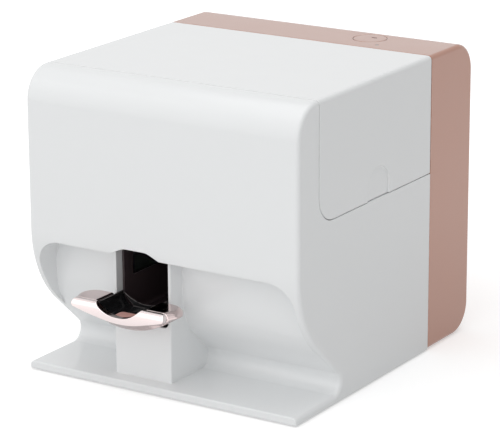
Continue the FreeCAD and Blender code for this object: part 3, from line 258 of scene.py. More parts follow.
def swing_finish(group, given, result, pattern, contrast):
    """Let a pattern about 0.5 swing the colour and the roughness about their values."""
    swing = work_out(group, "SUBTRACT", pattern, 0.5)
    shade = work_out(group, "MULTIPLY_ADD", swing, contrast, 1.0)
    tint = add_node(group, VECTOR_MATH, operation="SCALE", Scale=shade)
    feed(group, tint.inputs[0], given["Color"])
    feed(group, result["Color"], tint.outputs[0])
    feed(group, result["Roughness"], work_out(
        group, "MULTIPLY_ADD", swing, given["Unevenness"], given["Roughness"]))


def raise_finish(group, result, pattern, height, strength):
    """Let a pattern raise the surface by up to a height in metres."""
    bump = add_node(group, "ShaderNodeBump", Strength=strength, Distance=height,
                    Height=pattern)
    feed(group, result["Normal"], bump.outputs[0])


# %% Moulded skin
def make_moulded_skin():
    """Mottled colour, uneven gloss and fine texture, from Object coordinates."""
    group, given, result = new_group("moulded_skin", [
        ("Color", COLOR, (0.8, 0.8, 0.8, 1)), ("Mottle", FLOAT, 0.02),
        ("Roughness", FLOAT, 0.3), ("Unevenness", FLOAT, 0.04),
        ("Grain per metre", FLOAT, 2500), ("Grain height", FLOAT, 0.00001),
    ], [("Color", COLOR), ("Roughness", FLOAT), ("Normal", VECTOR)])
    place = object_place(group)
    clouds = noise(group, place, Scale=38.0, Detail=3.0)
    swing_finish(group, given, result, clouds, given["Mottle"])
    grain = noise(group, place, Scale=given["Grain per metre"], Detail=2.0)
    raise_finish(group, result, grain, given["Grain height"], strength=0.6)
    return group


MOULDED_SKIN = make_moulded_skin()


# %% Ground lines
def make_ground_lines():
    """Fine parallel lines, as grinding or drawing leaves them on metal."""
    group, given, result = new_group("ground_lines", [
        ("Color", COLOR, (0.6, 0.6, 0.6, 1)), ("Contrast", FLOAT, 0.25),
        ("Roughness", FLOAT, 0.3), ("Unevenness", FLOAT, 0.2),
        ("Lines per metre", VECTOR, (60, 4000, 4000)), ("Line height", FLOAT, 0.00001),
    ], [("Color", COLOR), ("Roughness", FLOAT), ("Normal", VECTOR)])
    stretched = work_out(group, "MULTIPLY", object_place(group), given["Lines per metre"],
                         kind=VECTOR_MATH)
    lines = noise(group, stretched, Scale=1.0, Detail=3.0)
    swing_finish(group, given, result, lines, given["Contrast"])
    raise_finish(group, result, lines, given["Line height"], strength=0.5)
    return group


GROUND_LINES = make_ground_lines()


# %% Rubbed edges
def make_edge_wear_and_highlight():
    """Lighter colour and other gloss on bevelled strips: wear, and painted rim highlights."""
    group, given, result = new_group("edge_wear_and_highlight", [
        ("Color", COLOR, (0.8, 0.8, 0.8, 1)), ("Roughness", FLOAT, 0.3),
        ("Wear and highlight color", COLOR, (0.9, 0.9, 0.9, 1)), ("Rubbed roughness", FLOAT, 0.2),
        ("Amount", FLOAT, 0.5),
    ], [("Color", COLOR), ("Roughness", FLOAT)])
    patches = noise(group, object_place(group), Scale=160.0, Detail=4.0)
    patch_share = add_node(group, "ShaderNodeMapRange", Value=patches, From_Min=0.35,
                    From_Max=0.65).outputs[0]
    edge = add_node(group, "ShaderNodeAttribute", attribute_name=EDGE_MARK).outputs["Fac"]
    # the lighter strips are partly wear and partly a painted highlight along the rims
    edge_in_patches = work_out(group, "MULTIPLY", edge, patch_share)
    mask = work_out(group, "MULTIPLY", edge_in_patches, given["Amount"], use_clamp=True)
    for label, kind, wear_and_highlight in (("Color", "RGBA", "Wear and highlight color"),
                                ("Roughness", "FLOAT", "Rubbed roughness")):
        feed(group, result[label], mixed(group, kind, mask, given[label], given[wear_and_highlight]))
    return group


EDGE_WEAR_AND_HIGHLIGHT = make_edge_wear_and_highlight()

# %% [markdown]
# ## Finishes
#
# A finish is one material. It starts with a surface group, passes its colour and gloss
# through the edge wear and highlight, and ends in a Principled shader. What is the same
# all over the surface, such as the coat or the metal, could come through a node as well,
# but it is one plain number, so it is set on the shader itself.

# %% A finish from two groups and a shader
def finish(name, surface, skin, wear_and_highlight, **shader_values):
    """Material: surface group, then edge wear and highlight, then a Principled shader."""
    material = bpy.data.materials.new(name)
    material.use_nodes = True
    tree = material.node_tree
    shader = tree.nodes["Principled BSDF"]
    top = place_group(tree, surface, skin)
    edges = place_group(tree, EDGE_WEAR_AND_HIGHLIGHT, wear_and_highlight)
    for start, end in ((top.outputs["Color"], edges.inputs["Color"]),
                       (top.outputs["Roughness"], edges.inputs["Roughness"]),
                       (edges.outputs["Color"], shader.inputs["Base Color"]),
                       (edges.outputs["Roughness"], shader.inputs["Roughness"]),
                       (top.outputs["Normal"], shader.inputs["Normal"])):
        tree.links.new(start, end)
    for key, value in shader_values.items():
        shader.inputs[key.replace("_", " ")].default_value = value
    print("finish", name)
    return material


def rgb(red, green, blue):
    """Opaque colour, linear."""
    return (red, green, blue, 1.0)


# %% [markdown]
# ## Plastics
#
# The white case is a glossy moulding, slightly wavy as large mouldings are. The rear has
# a rose-coloured satin paint under a clear coat, which turns paler at a low angle: a
# coat and a sheen on the shader do that, and a plain pink would not. The slot's lining
# and the tray are glossy black, and the plastic parts inside are black or grey with the
# fine grain of a spark-eroded mould.

# %% Case plastics
white_gloss = finish("white_gloss", MOULDED_SKIN, {
    "Color": rgb(0.864, 0.877, 0.883), "Mottle": 0.012, "Roughness": 0.17,
    "Unevenness": 0.05, "Grain per metre": 420, "Grain height": 0.000006,
}, {"Wear and highlight color": rgb(0.93, 0.93, 0.93), "Rubbed roughness": 0.12, "Amount": 0.6})
rose_satin = finish("rose_satin", MOULDED_SKIN, {
    "Color": rgb(0.45, 0.205, 0.135), "Mottle": 0.05, "Roughness": 0.36,
    "Unevenness": 0.08, "Grain per metre": 5200, "Grain height": 0.000012,
}, {"Wear and highlight color": rgb(0.66, 0.42, 0.35), "Rubbed roughness": 0.25, "Amount": 0.5},
    Metallic=0.2, Coat_Weight=0.6, Coat_Roughness=0.1, Coat_IOR=1.5,
    Sheen_Weight=1.0, Sheen_Roughness=0.25, Sheen_Tint=rgb(1.0, 0.98, 0.98))
# painted highlight: the edge colour, far lighter than this black, stands for light along the
# rounded rims
black_gloss = finish("black_gloss", MOULDED_SKIN, {
    "Color": rgb(0.012, 0.012, 0.013), "Mottle": 0.2, "Roughness": 0.08,
    "Unevenness": 0.05, "Grain per metre": 500, "Grain height": 0.000004,
}, {"Wear and highlight color": rgb(0.24, 0.21, 0.21), "Rubbed roughness": 0.16, "Amount": 0.8})
# painted highlight: the edge colour, far lighter than this black, stands for light along the
# rounded rims
slot_black = finish("slot_black", MOULDED_SKIN, {
    "Color": rgb(0.065, 0.046, 0.050), "Mottle": 0.2, "Roughness": 0.12,
    "Unevenness": 0.06, "Grain per metre": 700, "Grain height": 0.000006,
}, {"Wear and highlight color": rgb(0.16, 0.13, 0.13), "Rubbed roughness": 0.15, "Amount": 0.7})
dark_plastic = finish("dark_plastic", MOULDED_SKIN, {
    "Color": rgb(0.035, 0.036, 0.040), "Mottle": 0.15, "Roughness": 0.48,
    "Unevenness": 0.12, "Grain per metre": 2600, "Grain height": 0.00003,
}, {"Wear and highlight color": rgb(0.10, 0.10, 0.11), "Rubbed roughness": 0.3, "Amount": 0.7})
mark_print = finish("mark_print", MOULDED_SKIN, {
    "Color": rgb(0.045, 0.022, 0.024), "Mottle": 0.15, "Roughness": 0.7,
    "Unevenness": 0.1, "Grain per metre": 2600, "Grain height": 0.00001,
}, {"Wear and highlight color": rgb(0.06, 0.03, 0.03), "Rubbed roughness": 0.6, "Amount": 0.4},
    Specular_IOR_Level=0.1)
grey_plastic = finish("grey_plastic", MOULDED_SKIN, {
    "Color": rgb(0.36, 0.37, 0.385), "Mottle": 0.05, "Roughness": 0.42,
    "Unevenness": 0.1, "Grain per metre": 2600, "Grain height": 0.00002,
}, {"Wear and highlight color": rgb(0.5, 0.51, 0.52), "Rubbed roughness": 0.3, "Amount": 0.6})
lamp_grey = finish("lamp_grey", MOULDED_SKIN, {
    "Color": rgb(0.34, 0.33, 0.32), "Mottle": 0.1, "Roughness": 0.2,
    "Unevenness": 0.05, "Grain per metre": 900, "Grain height": 0.000005,
}, {"Wear and highlight color": rgb(0.4, 0.4, 0.4), "Rubbed roughness": 0.15, "Amount": 0.5})

# %% [markdown]
# ## Rubber
#
# The finger pad is rose-coloured silicone rubber, and the feet, seals and belt are black
# rubber. Rubber is moulded as plastic is, so the same skin does for it and needs no
# group of its own. It has less gloss than the case and a deeper grain.

# %% Soft pieces
soft_pad = finish("soft_pad", MOULDED_SKIN, {
    "Color": rgb(0.66, 0.36, 0.32), "Mottle": 0.08, "Roughness": 0.38,
    "Unevenness": 0.1, "Grain per metre": 3000, "Grain height": 0.00004,
}, {"Wear and highlight color": rgb(0.72, 0.45, 0.41), "Rubbed roughness": 0.5, "Amount": 0.5})
black_rubber = finish("black_rubber", MOULDED_SKIN, {
    "Color": rgb(0.022, 0.022, 0.023), "Mottle": 0.25, "Roughness": 0.75,
    "Unevenness": 0.12, "Grain per metre": 3500, "Grain height": 0.00005,
}, {"Wear and highlight color": rgb(0.06, 0.06, 0.06), "Rubbed roughness": 0.6, "Amount": 0.7})

# %% [markdown]
# ## Metals
#
# The finger rest is plated with a rose-tinted chrome, which is smooth, so it takes the
# moulded skin with hardly any grain. Its wings face the dim recess, but a white studio
# has nothing dark for them to mirror, so their chrome is darker than the lip's: a
# painted dark reflection. Pins and rails are ground steel, the chassis is plated sheet
# whose lines run one way, and the bearings are bronze.

# %% Metals
rose_chrome = finish("rose_chrome", MOULDED_SKIN, {
    "Color": rgb(0.845, 0.745, 0.735), "Mottle": 0.02, "Roughness": 0.13,
    "Unevenness": 0.03, "Grain per metre": 260, "Grain height": 0.000003,
}, {"Wear and highlight color": rgb(0.93, 0.82, 0.80), "Rubbed roughness": 0.1, "Amount": 0.4},
    Metallic=1.0)
# painted reflection: darker than the lip's chrome, for the dark recess that the wings would
# mirror
wing_chrome_painted_dark = finish("wing_chrome_painted_dark", MOULDED_SKIN, {
    "Color": rgb(0.68, 0.565, 0.555), "Mottle": 0.04, "Roughness": 0.1,
    "Unevenness": 0.03, "Grain per metre": 260, "Grain height": 0.000003,
}, {"Wear and highlight color": rgb(0.90, 0.79, 0.77), "Rubbed roughness": 0.1, "Amount": 0.6},
    Metallic=1.0)
ground_steel = finish("ground_steel", GROUND_LINES, {
    "Color": rgb(0.62, 0.63, 0.64), "Contrast": 0.16, "Roughness": 0.22,
    "Unevenness": 0.16, "Lines per metre": (900, 900, 900),
}, {"Wear and highlight color": rgb(0.8, 0.8, 0.8), "Rubbed roughness": 0.2, "Amount": 0.6},
    Metallic=1.0)
plated_sheet = finish("plated_sheet", GROUND_LINES, {
    "Color": rgb(0.55, 0.56, 0.565), "Contrast": 0.22, "Roughness": 0.36,
    "Unevenness": 0.2, "Lines per metre": (2600, 60, 2600),
}, {"Wear and highlight color": rgb(0.75, 0.76, 0.78), "Rubbed roughness": 0.25, "Amount": 0.8},
    Metallic=1.0)
bearing_bronze = finish("bearing_bronze", GROUND_LINES, {
    "Color": rgb(0.50, 0.31, 0.14), "Contrast": 0.4, "Roughness": 0.4,
    "Unevenness": 0.25, "Lines per metre": (2400, 2400, 2400),
}, {"Wear and highlight color": rgb(0.66, 0.47, 0.26), "Rubbed roughness": 0.3, "Amount": 0.7},
    Metallic=1.0)

# %% [markdown]
# ## Printed and drawn surfaces
#
# Some surfaces in the works carry more than one colour: the copper tracks under a
# circuit board's green lacquer, the fine marks along the encoder film, the black end caps
# of the motors' steel cans, and the label on the cartridge with a band for each ink. An
# image could show them, but a few texture nodes on Object coordinates stay sharp at any
# distance. Each pattern makes a mask, and the other colour is laid over the finish by
# it. Bands and labels are boxes in space, so one small group makes the mask of a box.

# %% A second colour by a mask
def lay_over(material, color, mask):
    """Blend a colour over a finish by a mask."""
    tree = material.node_tree
    base = tree.nodes["Principled BSDF"].inputs["Base Color"]
    below = base.links[0].from_socket
    feed(tree, base, mixed(tree, "RGBA", mask, below, color))


def pattern_finish(name, below, above, make_mask, roughness, **shader_values):
    """Plastic that shows a second colour where a mask, built in its tree, says so."""
    material = finish(name, MOULDED_SKIN, {
        "Color": below, "Mottle": 0.1, "Roughness": roughness, "Unevenness": 0.08,
        "Grain per metre": 900, "Grain height": 0.000008,
    }, {"Wear and highlight color": above, "Rubbed roughness": roughness, "Amount": 0.4},
        **shader_values)
    lay_over(material, above, make_mask(material.node_tree))
    return material


# %% Copper tracks and encoder marks
# a wave texture of scale 1 goes through this many radians in a metre
WAVE_RADIANS = 20


def track_mask(tree):
    """Thin lines at right angles, broken up by a noise, like copper tracks."""
    place = object_place(tree)
    upright = add_node(tree, "ShaderNodeMapping", Vector=place,
                       Rotation=(math.radians(90), 0, 0)).outputs[0]
    tracks = add_node(tree, "ShaderNodeTexBrick", offset=0.5, squash=0.6, Vector=upright,
                      Scale=90.0, Mortar_Size=0.035, Mortar_Smooth=0.1, Brick_Width=0.9,
                      Row_Height=0.16).outputs["Fac"]
    crowded = work_out(tree, "GREATER_THAN", noise(tree, place, Scale=70.0, Detail=1.0), 0.47)
    return work_out(tree, "MULTIPLY", tracks, crowded)


def tick_mask(tree, spacing=0.5 * mm):
    """Even marks across a strip that runs along X."""
    waves = add_node(tree, "ShaderNodeTexWave", wave_type="BANDS", bands_direction="X",
                     Vector=object_place(tree),
                     Scale=2 * math.pi / WAVE_RADIANS / spacing).outputs["Fac"]
    return work_out(tree, "GREATER_THAN", waves, 0.5)


# %% A box as a mask
def make_inside_box():
    """1 inside a box on Object coordinates, given by its middle and half its size."""
    group, given, result = new_group("inside_box", [
        ("Middle", VECTOR, (0, 0, 0)), ("Half size", VECTOR, (1, 1, 1)),
    ], [("Mask", FLOAT)])
    offset = work_out(group, "SUBTRACT", object_place(group), given["Middle"],
                      kind=VECTOR_MATH)
    reach = work_out(group, "ABSOLUTE", offset, kind=VECTOR_MATH)
    # what is left between the point and the box's sides is positive on all axes inside
    room = work_out(group, "SUBTRACT", given["Half size"], reach, kind=VECTOR_MATH)
    along = add_node(group, "ShaderNodeSeparateXYZ", Vector=room).outputs
    sideways = work_out(group, "MINIMUM", along["X"], along["Y"])
    least = work_out(group, "MINIMUM", sideways, along["Z"])
    feed(group, result["Mask"], work_out(group, "GREATER_THAN", least, 0.0))
    return group


INSIDE_BOX = make_inside_box()


def box_mask(tree, low, high):
    """Mask of a box, given by its lowest and highest corners."""
    middle = (Vector(low) + Vector(high)) / 2
    box = place_group(tree, INSIDE_BOX, {"Middle": middle, "Half size": Vector(high) - middle})
    return box.outputs["Mask"]


# %% Motors and cartridge
def motor_steel(node, cap):
    """Laminated steel can, black at the two ends of a motor that lies along Y."""
    material = finish(node + "_steel", GROUND_LINES, {
        "Color": rgb(0.56, 0.56, 0.57), "Contrast": 0.5, "Roughness": 0.3,
        "Unevenness": 0.2, "Lines per metre": (60, 3000, 60), "Line height": 0.00003,
    }, {"Wear and highlight color": rgb(0.7, 0.7, 0.72), "Rubbed roughness": 0.25, "Amount": 0.6},
        Metallic=1.0)
    low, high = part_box(node)
    # the boxes reach 1 mm past the can on the sides that they cover whole
    for begin, end in ((low[1] - mm, low[1] + cap), (high[1] - cap, high[1] + mm)):
        lay_over(material, rgb(0.035, 0.035, 0.038), box_mask(
            material.node_tree, (low[0] - mm, begin, low[2] - mm),
            (high[0] + mm, end, high[2] + mm)))
    return material


def labelled_black(node, margin, band):
    """Glossy black with a white label on top, which has a band for each ink."""
    material = finish(node + "_black", MOULDED_SKIN, {
        "Color": rgb(0.014, 0.014, 0.015), "Mottle": 0.2, "Roughness": 0.22,
        "Unevenness": 0.08, "Grain per metre": 900, "Grain height": 0.000008,
    }, {"Wear and highlight color": rgb(0.05, 0.05, 0.05), "Rubbed roughness": 0.15, "Amount": 0.5})
    low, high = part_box(node)
    left, right, rear = low[0] + margin, high[0] - margin, high[1] - margin
    strips = [(rgb(0.80, 0.80, 0.79), low[1] + margin, rear)]
    inks = (rgb(0.02, 0.30, 0.55), rgb(0.55, 0.03, 0.20), rgb(0.80, 0.62, 0.03))
    for row, ink in enumerate(inks, start=1):
        strips.append((ink, rear - 2 * row * band, rear - (2 * row - 1) * band))
    below_top, above_top = high[2] - 0.2 * mm, high[2] + mm
    for color, begin, end in strips:
        lay_over(material, color, box_mask(
            material.node_tree, (left, begin, below_top), (right, end, above_top)))
    return material


# %% Board and film
board_green = pattern_finish("board_green", rgb(0.010, 0.075, 0.040),
                             rgb(0.025, 0.17, 0.085), track_mask, 0.28, Coat_Weight=0.4)
encoder_film = pattern_finish("encoder_film", rgb(0.42, 0.44, 0.45),
                              rgb(0.02, 0.02, 0.02), tick_mask, 0.15)
print(len(bpy.data.materials), "materials,", len(bpy.data.node_groups), "node groups")

# %% [markdown]
# ## The case
#
# Three mouldings make the outside: the white front, the white lid with its side flap,
# and the rose-coloured rear. They could be sculpted again as smooth surfaces, but the
# construction's own meshes are exact, so they are dressed as they are, with rounded
# edges that make each seam show as a fine bright and dark line.

# %% Front, lid and rear
dress("front_housing", white_gloss, 0.5 * mm)
dress("cartridge_cover", white_gloss, 0.5 * mm)
dress("rear_housing", rose_satin, 0.4 * mm)
dress("base_pan", dark_plastic, 0.3 * mm)
dress("rubber_feet", black_rubber, 0.4 * mm)
dress("slot_liner", slot_black, 0.3 * mm)

# %% [markdown]
# ## The finger rest
#
# A chromed piece with two wings carries the finger, with a chromed lip in front and a
# glossy black tray set into it. Plated plastic is moulded with generous roundings,
# because plating covers a sharp edge badly. The wings could get a live Bevel modifier,
# but the same helper does it, with the widest rounding here, in four steps.

# %% Finger rest
dress("finger_rest_wings", wing_chrome_painted_dark, 0.7 * mm, steps=4)
dress("finger_rest_lip", rose_chrome, 0.3 * mm, steps=3)
dress("finger_tray", black_gloss, 0.4 * mm)

# %% [markdown]
# ## The soft pad
#
# A finger rests on a small pad of silicone rubber, moulded to the trough that it lies
# in. A cloth simulation could puff it up, but this pad gets its shape from a mould and
# not from a filling. Something that soft has no crisp edge, so its rims are rounded over
# almost half its thickness in several steps.

# %% Pad
pad = dress("finger_pad", soft_pad, 0.7 * mm, steps=5)

# %% [markdown]
# ## The spring under the rest
#
# The finger rest floats on a coil of square wire that stands in the pedestal. When the
# rest sinks, the coil gets shorter and its foot stays where it is. Here the coil is
# dressed as ground steel and gets a mesh of its own.

# %% Slider and spring under the rest
dress("rest_slider", dark_plastic, 0.3 * mm)
spring = dress("rest_spring", ground_steel)
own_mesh(spring)

# %% [markdown]
# ## The button and its lamp
#
# The power button is a round key in the rear's own finish, told from it only by the gap
# around it and a small dark mark. A mask in the button's material could draw the mark,
# but the construction has it as a piece of its own. It gets a dull print with almost no
# gloss, because a glossy one would mirror the room and look pale.

# %% Button and lamp
dress("power_button", rose_satin, 0.3 * mm)
dress("button_mark", mark_print)
dress("indicator_lamp", lamp_grey, 0.2 * mm)

# %% [markdown]
# ## The works inside
#
# With the lid open, the print carriage shows on its two shafts, with its motors, belt
# and boards. These pieces are small and many, and the construction already has their
# real shapes. They could be dressed in a line each, but a table shows at a glance which
# pieces share a finish and how wide their edges are rounded.

# %% Works inside
WORKS = (
    (ground_steel, 0.2 * mm, ("hinge_pin", "rest_guide_rods", "gantry_rails",
                              "carriage_shafts", "idler_pin", "latch_pin",
                              "nozzle_plate", "board_standoffs")),
    (plated_sheet, 0.25 * mm, ("chassis", "gantry_frame", "rail_blocks")),
    (bearing_bronze, 0.2 * mm, ("gantry_bushings", "carriage_bushings", "lead_nut")),
    (dark_plastic, 0.25 * mm, ("print_carriage", "belt_clamp", "button_switch",
                               "nail_camera", "cover_switch", "power_inlet",
                               "board_chips")),
    (grey_plastic, 0.25 * mm, ("service_station", "cartridge_latch", "drive_pulley",
                               "idler_pulley", "board_plugs")),
    (encoder_film, 0.1 * mm, ("encoder_strip",)),
    (black_rubber, 0.15 * mm, ("cap_seal", "wiper_blade")),
    (board_green, 0.1 * mm, ("main_board", "button_board")),
)
for material, width, nodes in WORKS:
    for node in nodes:
        dress(node, material, width)
cartridge_black = labelled_black("ink_cartridge", margin=4 * mm, band=4 * mm)
dress("ink_cartridge", cartridge_black, 0.3 * mm)
for node, cap in (("gantry_motor", 5 * mm), ("carriage_motor", 4 * mm)):
    dress(node, motor_steel(node, cap), 0.3 * mm)

# %% [markdown]
# ## The lead screw's thread
#
# The screw that moves the gantry has a thread of four starts, 8 mm of travel a turn. A
# helix could be swept along a curve, but a spin that also shifts does it in one step:
# the outline of the whole screw turns once round the axis while it slides one lead
# along it, and since four teeth fit in a lead, the end of the sweep meets its start.
# The two ragged ends are cut off square and drawn out into plain journals.

# %% Outline of the screw
def screw_outline(mesh, axis_x, axis_z, start, end, crest, root, pitch):
    """Row of vertices along the screw that steps between crest and root."""
    # one tooth, as shares of the pitch and the radius there
    tooth = ((0.0, root), (0.30, root), (0.42, crest), (0.80, crest), (0.92, root))
    verts = [mesh.verts.new((axis_x + radius, start + share * pitch, axis_z))
             for share, radius in tooth]
    edges = [mesh.edges.new(pair) for pair in zip(verts, verts[1:])]
    for row in range(1, round((end - start) / pitch)):
        copy = bmesh.ops.duplicate(mesh, geom=verts + edges)["geom"]
        moved = [v for v in copy if isinstance(v, bmesh.types.BMVert)]
        bmesh.ops.translate(mesh, verts=moved, vec=(0, row * pitch, 0))
    ordered = sorted(mesh.verts, key=lambda v: v.co.y)
    for below, above in zip(ordered, ordered[1:]):
        if mesh.edges.get((below, above)) is None:
            mesh.edges.new((below, above))
    return mesh.verts[:] + mesh.edges[:]


# %% Plain ends of the screw
def draw_out_end(mesh, place, direction, end, collar=0.6 * mm):
    """Cut the screw off square at a place and draw the cut out to its end."""
    cut = bmesh.ops.bisect_plane(
        mesh, geom=mesh.verts[:] + mesh.edges[:] + mesh.faces[:], dist=0.0001 * mm,
        plane_co=(0, place, 0), plane_no=(0, direction, 0), clear_outer=True)
    rim = [e for e in cut["geom_cut"] if isinstance(e, bmesh.types.BMEdge)]
    cap = bmesh.ops.contextual_create(mesh, geom=rim)["faces"]
    # the thread's smooth shading runs out over a short collar, not down the journal
    for reach in (collar * direction, end - place - collar * direction):
        grown = bmesh.ops.extrude_face_region(mesh, geom=cap)
        bmesh.ops.delete(mesh, geom=cap, context="FACES_ONLY")
        cap = [f for f in grown["geom"] if isinstance(f, bmesh.types.BMFace)]
        verts = list({v for f in cap for v in f.verts})
        bmesh.ops.translate(mesh, verts=verts, vec=(0, reach, 0))


# %% Threaded screw
def threaded_screw(node, front_end, rear_end, pitch=2 * mm, starts=4, root_share=0.84,
                   turn_steps=24):
    """Piece that stands for a plain shaft along Y and shows its thread."""
    low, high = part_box(node)
    axis_x, axis_z = (low[0] + high[0]) / 2, (low[2] + high[2]) / 2
    radius = (high[0] - low[0]) / 2
    lead = pitch * starts
    first, last = low[1] + front_end, high[1] - rear_end
    mesh = bmesh.new()
    # the crest stays just inside the shaft, and the thread starts well before its cut
    outline = screw_outline(mesh, axis_x, axis_z, first - 2 * lead, last + lead,
                            radius - 0.02 * mm, radius * root_share, pitch)
    bmesh.ops.spin(mesh, geom=outline, cent=(axis_x, 0, axis_z), axis=(0, 1, 0),
                   dvec=(0, lead / turn_steps, 0), angle=2 * math.pi, steps=turn_steps)
    bmesh.ops.remove_doubles(mesh, verts=mesh.verts, dist=0.01 * mm)
    draw_out_end(mesh, first, -1, low[1])
    draw_out_end(mesh, last, 1, high[1])
    bmesh.ops.recalc_face_normals(mesh, faces=mesh.faces)
    piece = finished(mesh, node + ".threaded", ground_steel, node)
    print(piece.name, len(piece.data.polygons), "faces")
    return piece


threaded_screw("lead_screw", front_end=6 * mm, rear_end=14 * mm)

# %% [markdown]
# ## The toothed belt
#
# The carriage belt is a closed loop of black rubber with a tooth every 2 mm on its inner
# side. The loop itself is the construction's. One tooth is a small block whose inner
# edges are bevelled, and it is copied along both straight runs. Array modifiers could
# repeat it, but it would take one for each run and then a join, and one loop does both.

# %% One tooth
def belt_tooth(width, height, length=1.0 * mm, slope=0.28 * mm):
    """Mesh of one tooth about the origin, its top edges bevelled."""
    block = bmesh.new()
    bmesh.ops.create_cube(block, size=1.0)
    bmesh.ops.scale(block, verts=block.verts, vec=(length, width, height))
    # the two edges across the belt, on the side that points up
    rims = [e for e in block.edges if all(v.co.z > 0 for v in e.verts)
            and abs(e.verts[0].co.x - e.verts[1].co.x) < SAME_PLACE]
    bmesh.ops.bevel(block, geom=rims, offset=slope, segments=1, profile=0.5,
                    affect="EDGES", material=-1)
    tooth = bpy.data.meshes.new("belt_tooth")
    block.to_mesh(tooth)
    block.free()
    return tooth


# %% Belt with teeth
def toothed_belt(node, skin, ends, pitch=2 * mm, height=0.55 * mm, width_share=0.94):
    """The belt's loop with teeth on the inner side of both runs, as one piece."""
    low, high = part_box(node)
    mesh = merged_mesh(node)
    round_edges(mesh, 0.12 * mm)
    tooth = belt_tooth((high[1] - low[1]) * width_share, height)
    middle = (low[1] + high[1]) / 2
    count = int((ends[1] - ends[0]) / pitch)
    # a tooth's middle is less than half its height from the belt, so its foot sinks in
    lift = 0.4 * height
    for level, turn in ((low[2] + skin + lift, 0.0), (high[2] - skin - lift, math.pi)):
        for step in range(count):
            copy = tooth.copy()
            place = Vector((ends[0] + step * pitch, middle, level))
            copy.transform(Matrix.Translation(place) @ Matrix.Rotation(turn, 4, "X"))
            mesh.from_mesh(copy)
            bpy.data.meshes.remove(copy)
    bpy.data.meshes.remove(tooth)
    piece = finished(mesh, node + ".toothed", black_rubber, node)
    print(piece.name, 2 * count, "teeth")
    return piece


toothed_belt("carriage_belt", skin=0.9 * mm, ends=(-52 * mm, 64 * mm))

# %% [markdown]
# ## The studio
#
# A pale object is lit plainly: a white world, a very large weak lamp on each side of the
# front, and a third overhead. A picture of a real studio could light it too, but lamps
# can be set one by one. Large lamps leave soft highlights, and the three powers set how
# much darker the front is than the top, and the right side than the front. The floor
# and the world look white to the camera and in reflections, and the floor still takes
# the printer's shadow.

# %% World
def make_world(light_level):
    """White to the camera and in reflections, and a plain level of light elsewhere."""
    world = bpy.data.worlds.new("studio")
    world.use_nodes = True
    tree = world.node_tree
    path = add_node(tree, "ShaderNodeLightPath").outputs
    seen = work_out(tree, "MAXIMUM", path["Is Camera Ray"], path["Is Glossy Ray"])
    seen = work_out(tree, "MAXIMUM", seen, path["Is Transmission Ray"])
    level = add_node(tree, "ShaderNodeMapRange", Value=seen, To_Min=light_level,
                     To_Max=1.0)
    ground = tree.nodes["Background"]
    ground.inputs["Color"].default_value = rgb(1, 1, 1)
    feed(tree, ground.inputs["Strength"], level.outputs[0])
    bpy.context.scene.world = world
    print("world at a light level of", light_level)


make_world(light_level=0.40)


# %% Floor
def floor_material(near, far, near_glow, far_glow):
    """Pale matt ground, whose glow is seen by the camera and in reflections only."""
    material = bpy.data.materials.new("pale_floor")
    material.use_nodes = True
    tree = material.node_tree
    shader = tree.nodes["Principled BSDF"]
    for label, value in (("Base Color", rgb(0.76, 0.76, 0.76)), ("Roughness", 0.9),
                         ("Specular IOR Level", 0.0), ("Emission Color", rgb(1, 1, 1))):
        shader.inputs[label].default_value = value
    path = add_node(tree, "ShaderNodeLightPath").outputs
    seen = work_out(tree, "MAXIMUM", path["Is Camera Ray"], path["Is Glossy Ray"])
    reach = add_node(tree, VECTOR_MATH, operation="LENGTH")
    feed(tree, reach.inputs[0], object_place(tree))
    glow = add_node(tree, "ShaderNodeMapRange", interpolation_type="SMOOTHSTEP",
                    Value=reach.outputs["Value"], From_Min=near, From_Max=far,
                    To_Min=near_glow, To_Max=far_glow).outputs[0]
    feed(tree, shader.inputs["Emission Strength"], work_out(tree, "MULTIPLY", seen, glow))
    return material


def make_floor(side, material):
    """Square floor about the origin, which isn't part of the printer."""
    mesh = bmesh.new()
    bmesh.ops.create_grid(mesh, x_segments=1, y_segments=1, size=side / 2)
    data = bpy.data.meshes.new("floor")
    mesh.to_mesh(data)
    mesh.free()
    data.materials.append(material)
    floor = bpy.data.objects.new("floor", data)
    bpy.context.scene.collection.objects.link(floor)
    print("floor", side, "m across")


floor_skin = floor_material(near=0.14, far=0.55, near_glow=0.46, far_glow=0.68)
make_floor(side=12.0, material=floor_skin)


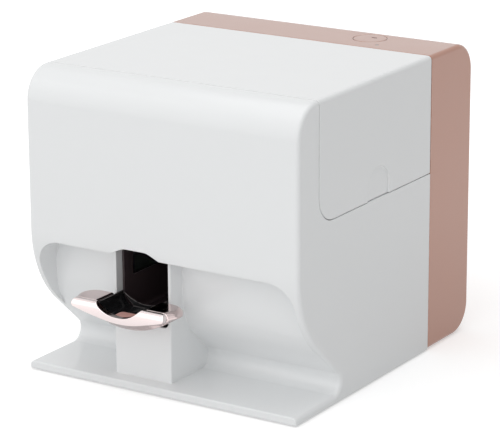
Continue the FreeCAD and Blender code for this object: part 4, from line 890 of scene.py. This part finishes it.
# %% Lamps
def soft_lamp(name, place, target, size, power):
    """Square area lamp at a place, aimed at a target."""
    data = bpy.data.lights.new(name, "AREA")
    data.shape = "SQUARE"
    data.size = size
    data.energy = power
    lamp = bpy.data.objects.new(name, data)
    lamp.location = place
    toward = Vector(target) - Vector(place)
    lamp.rotation_euler = toward.to_track_quat("-Z", "Y").to_euler()
    bpy.context.scene.collection.objects.link(lamp)
    print("lamp", name, size, "m across,", power, "W")


printer_middle = (0.0, 0.0, 0.1)
soft_lamp("key", (-1.05, -1.80, 0.85), printer_middle, size=2.8, power=13.0)
soft_lamp("overhead", (0.0, -0.1, 2.1), printer_middle, size=2.4, power=19.0)
soft_lamp("front", (0.75, -2.05, 0.45), printer_middle, size=2.8, power=17.5)

# %% [markdown]
# ## The camera
#
# The camera stands to the right of the slot, higher than the lid, and far away, so
# that the upright edges stay nearly parallel. A constraint could aim it, but its own
# three directions are worked out here from two angles and a slight tilt, which makes
# its matrix at once. It is placed by its distance from the middle of the printer.

# %% Camera
VIEW_TURN = math.radians(32.6)
VIEW_RISE = math.radians(16.45)
VIEW_TILT = math.radians(-0.30)
VIEW_DISTANCE = 1.7512
VIEW_TARGET = Vector((0.0, 0.0049, 0.0967))
LENS = 185.08
SENSOR = 36.0

back = Vector((math.sin(VIEW_TURN) * math.cos(VIEW_RISE),
               -math.cos(VIEW_TURN) * math.cos(VIEW_RISE), math.sin(VIEW_RISE)))
right = Vector((math.cos(VIEW_TURN), math.sin(VIEW_TURN), 0.0))
up = back.cross(right)
turned_right = math.cos(VIEW_TILT) * right + math.sin(VIEW_TILT) * up
turned_up = math.cos(VIEW_TILT) * up - math.sin(VIEW_TILT) * right
camera_data = bpy.data.cameras.new("camera")
camera_data.lens = LENS
camera_data.sensor_width = SENSOR
camera = bpy.data.objects.new("camera", camera_data)
pose = Matrix((turned_right, turned_up, back)).transposed().to_4x4()
pose.translation = VIEW_TARGET + back * VIEW_DISTANCE
camera.matrix_world = pose
bpy.context.scene.collection.objects.link(camera)
bpy.context.scene.camera = camera
bpy.context.scene.view_settings.view_transform = "Standard"
print("camera at", [round(x, 4) for x in camera.matrix_world.translation])
